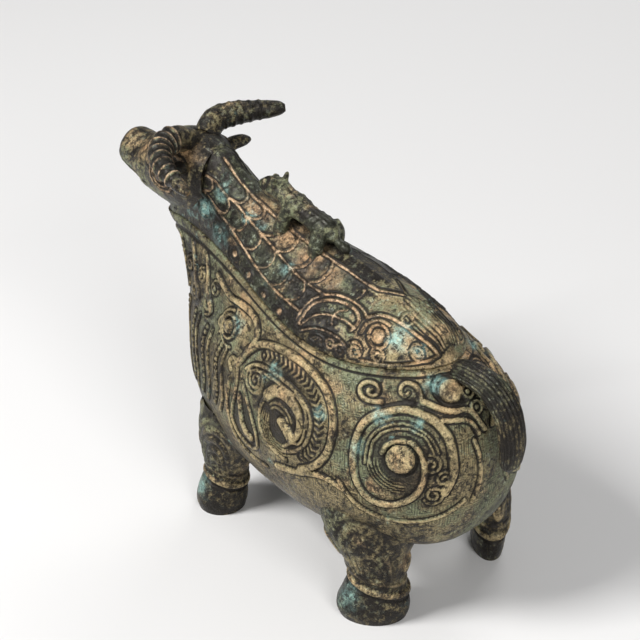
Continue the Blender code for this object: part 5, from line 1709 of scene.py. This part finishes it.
def bronze(name, amounts, seed, rubbed_colour=COPPER_TAN, bump=CRUST_BUMP, meander=False):
    """A material of the patina, with amounts in the order of its coats."""
    material = bpy.data.materials.new(name)
    material.use_nodes = True
    tree = material.node_tree
    wire = Wiring(tree)
    shader = tree.nodes["Principled BSDF"]
    shader.inputs["Specular IOR Level"].default_value = SPECULAR
    coat = tree.nodes.new("ShaderNodeGroup")
    coat.node_tree = PATINA
    for mask in MASKS:
        wire.put(coat.inputs[mask], wire.node("Attribute", "Fac", {}, attribute_name=mask.lower()))
    for label, amount in zip(COATS, amounts):
        coat.inputs[f"{label} Amount"].default_value = amount
    coat.inputs["Rubbed Color"].default_value = rubbed_colour
    coat.inputs["Seed"].default_value = (seed, 0.7 * seed, 1.3 * seed)
    if meander:
        chart = wire.node("UVMap", "UV", {}, uv_map="chart")
        lines = wire.node("Group", "Lines", {"Chart": chart}, node_tree=MEANDER)
        wire.put(coat.inputs["Meander"], lines)
    entries = {"Strength": bump, "Distance": CRUST_DEPTH, "Height": coat.outputs["Height"]}
    wire.put(shader.inputs["Normal"], wire.node("Bump", "Normal", entries))
    wire.put(shader.inputs["Base Color"], coat.outputs["Color"])
    for label in ("Roughness", "Metallic"):
        wire.put(shader.inputs[label], coat.outputs[label])
    return material


finishes = {
    "vessel_bronze": bronze("vessel_bronze", (0.55, 0.52, 0.38, 0.47, 0.72), 0.0, OLIVE_TAN, meander=True),
    "leg_bronze": bronze("leg_bronze", (0.52, 0.50, 0.38, 0.46, 0.60), 0.9, OLIVE_TAN),
    "lid_bronze": bronze("lid_bronze", (0.46, 0.52, 0.41, 0.44, 0.95), 2.1),
    "tiger_bronze": bronze("tiger_bronze", (0.475, 0.60, 0.39, 0.455, 0.40), 3.3, bump=0.30),
    "rivet_bronze": bronze("rivet_bronze", (0.45, 0.40, 0.20, 0.30, 0.40), 4.2),
    "pan_bronze": bronze("pan_bronze", (0.42, 0.38, 0.20, 0.35, 0.40), 5.7),
}
print("finishes:", sorted(finishes))

# %% [markdown]
# ## Putting it together
# Every skin rides on the body of the solid that it stands for, so lifting the lid lifts its head and tiger.

# %% Riding and replacing
dressed = {
    "vessel": [*(("vessel_body", half) for half in vessel_halves), ("tail", tail_skin), *legs.items()],
    "lid": [("lid_shell", lid_skin), ("tiger_knob", tiger_skin), *head_pieces.items()],
    "pan": [("incense_pan", pan_skin)],
}
slot_of = {row["node"]: row["material_slot"] for row in frame["record"]["subparts"]}
for body, skins in dressed.items():
    for node, skin in skins:
        skin.data.materials.append(finishes[slot_of[node]])
        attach(skin, body)
        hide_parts(node)
for node, solid in frame["nodes"].items():
    if node.startswith("knob_rivet"):
        solid.data.materials.clear()
        solid.data.materials.append(finishes["rivet_bronze"])
print("dressed:", {body: len(skins) for body, skins in dressed.items()})

# %% [markdown]
# ## Floor and light
# A plain pale floor and broad lamps show the patina without hard shadows. The main lamp stands in front
# of the ox's left shoulder and high up, weaker ones fill the rump and the far side, and the sky adds an
# even glow.

# %% Floor and light
FLOOR_SIZE = 6.0
FLOOR_GREY = (0.80, 0.79, 0.78, 1.0)
SKY, SKY_STRENGTH = (0.95, 0.97, 1.0, 1.0), 0.20
# Lamps, as place and size in metres, and power in watts.
LAMPS = {
    "main_lamp": ((0.72, -0.30, 0.92), 0.36, 13.0),
    "rump_lamp": ((0.35, 0.95, 0.70), 0.5, 6.0),
    "back_lamp": ((-0.8, -0.3, 0.8), 0.5, 3.0),
}


def floor():
    bm = bmesh.new()
    bmesh.ops.create_grid(bm, x_segments=1, y_segments=1, size=FLOOR_SIZE)
    obj = show("floor", mesh_of(bm, "floor"))
    material = bpy.data.materials.new("floor")
    material.use_nodes = True
    shader = material.node_tree.nodes["Principled BSDF"]
    shader.inputs["Base Color"].default_value = FLOOR_GREY
    shader.inputs["Roughness"].default_value = 0.9
    obj.data.materials.append(material)


def lamp(name, place, size, watts):
    light = bpy.data.lights.new(name, "AREA")
    light.size = size
    light.energy = watts
    obj = show(name, light)
    obj.location = place
    obj.rotation_euler = (Vector(place) - CAMERA_TARGET).to_track_quat("Z", "Y").to_euler()


floor()
for name, setting in LAMPS.items():
    lamp(name, *setting)
world = bpy.data.worlds.new("studio")
world.use_nodes = True
sky = world.node_tree.nodes["Background"]
sky.inputs["Color"].default_value = SKY
sky.inputs["Strength"].default_value = SKY_STRENGTH
bpy.context.scene.world = world
bpy.context.scene.view_settings.view_transform = "Standard"
print("floor and light set")
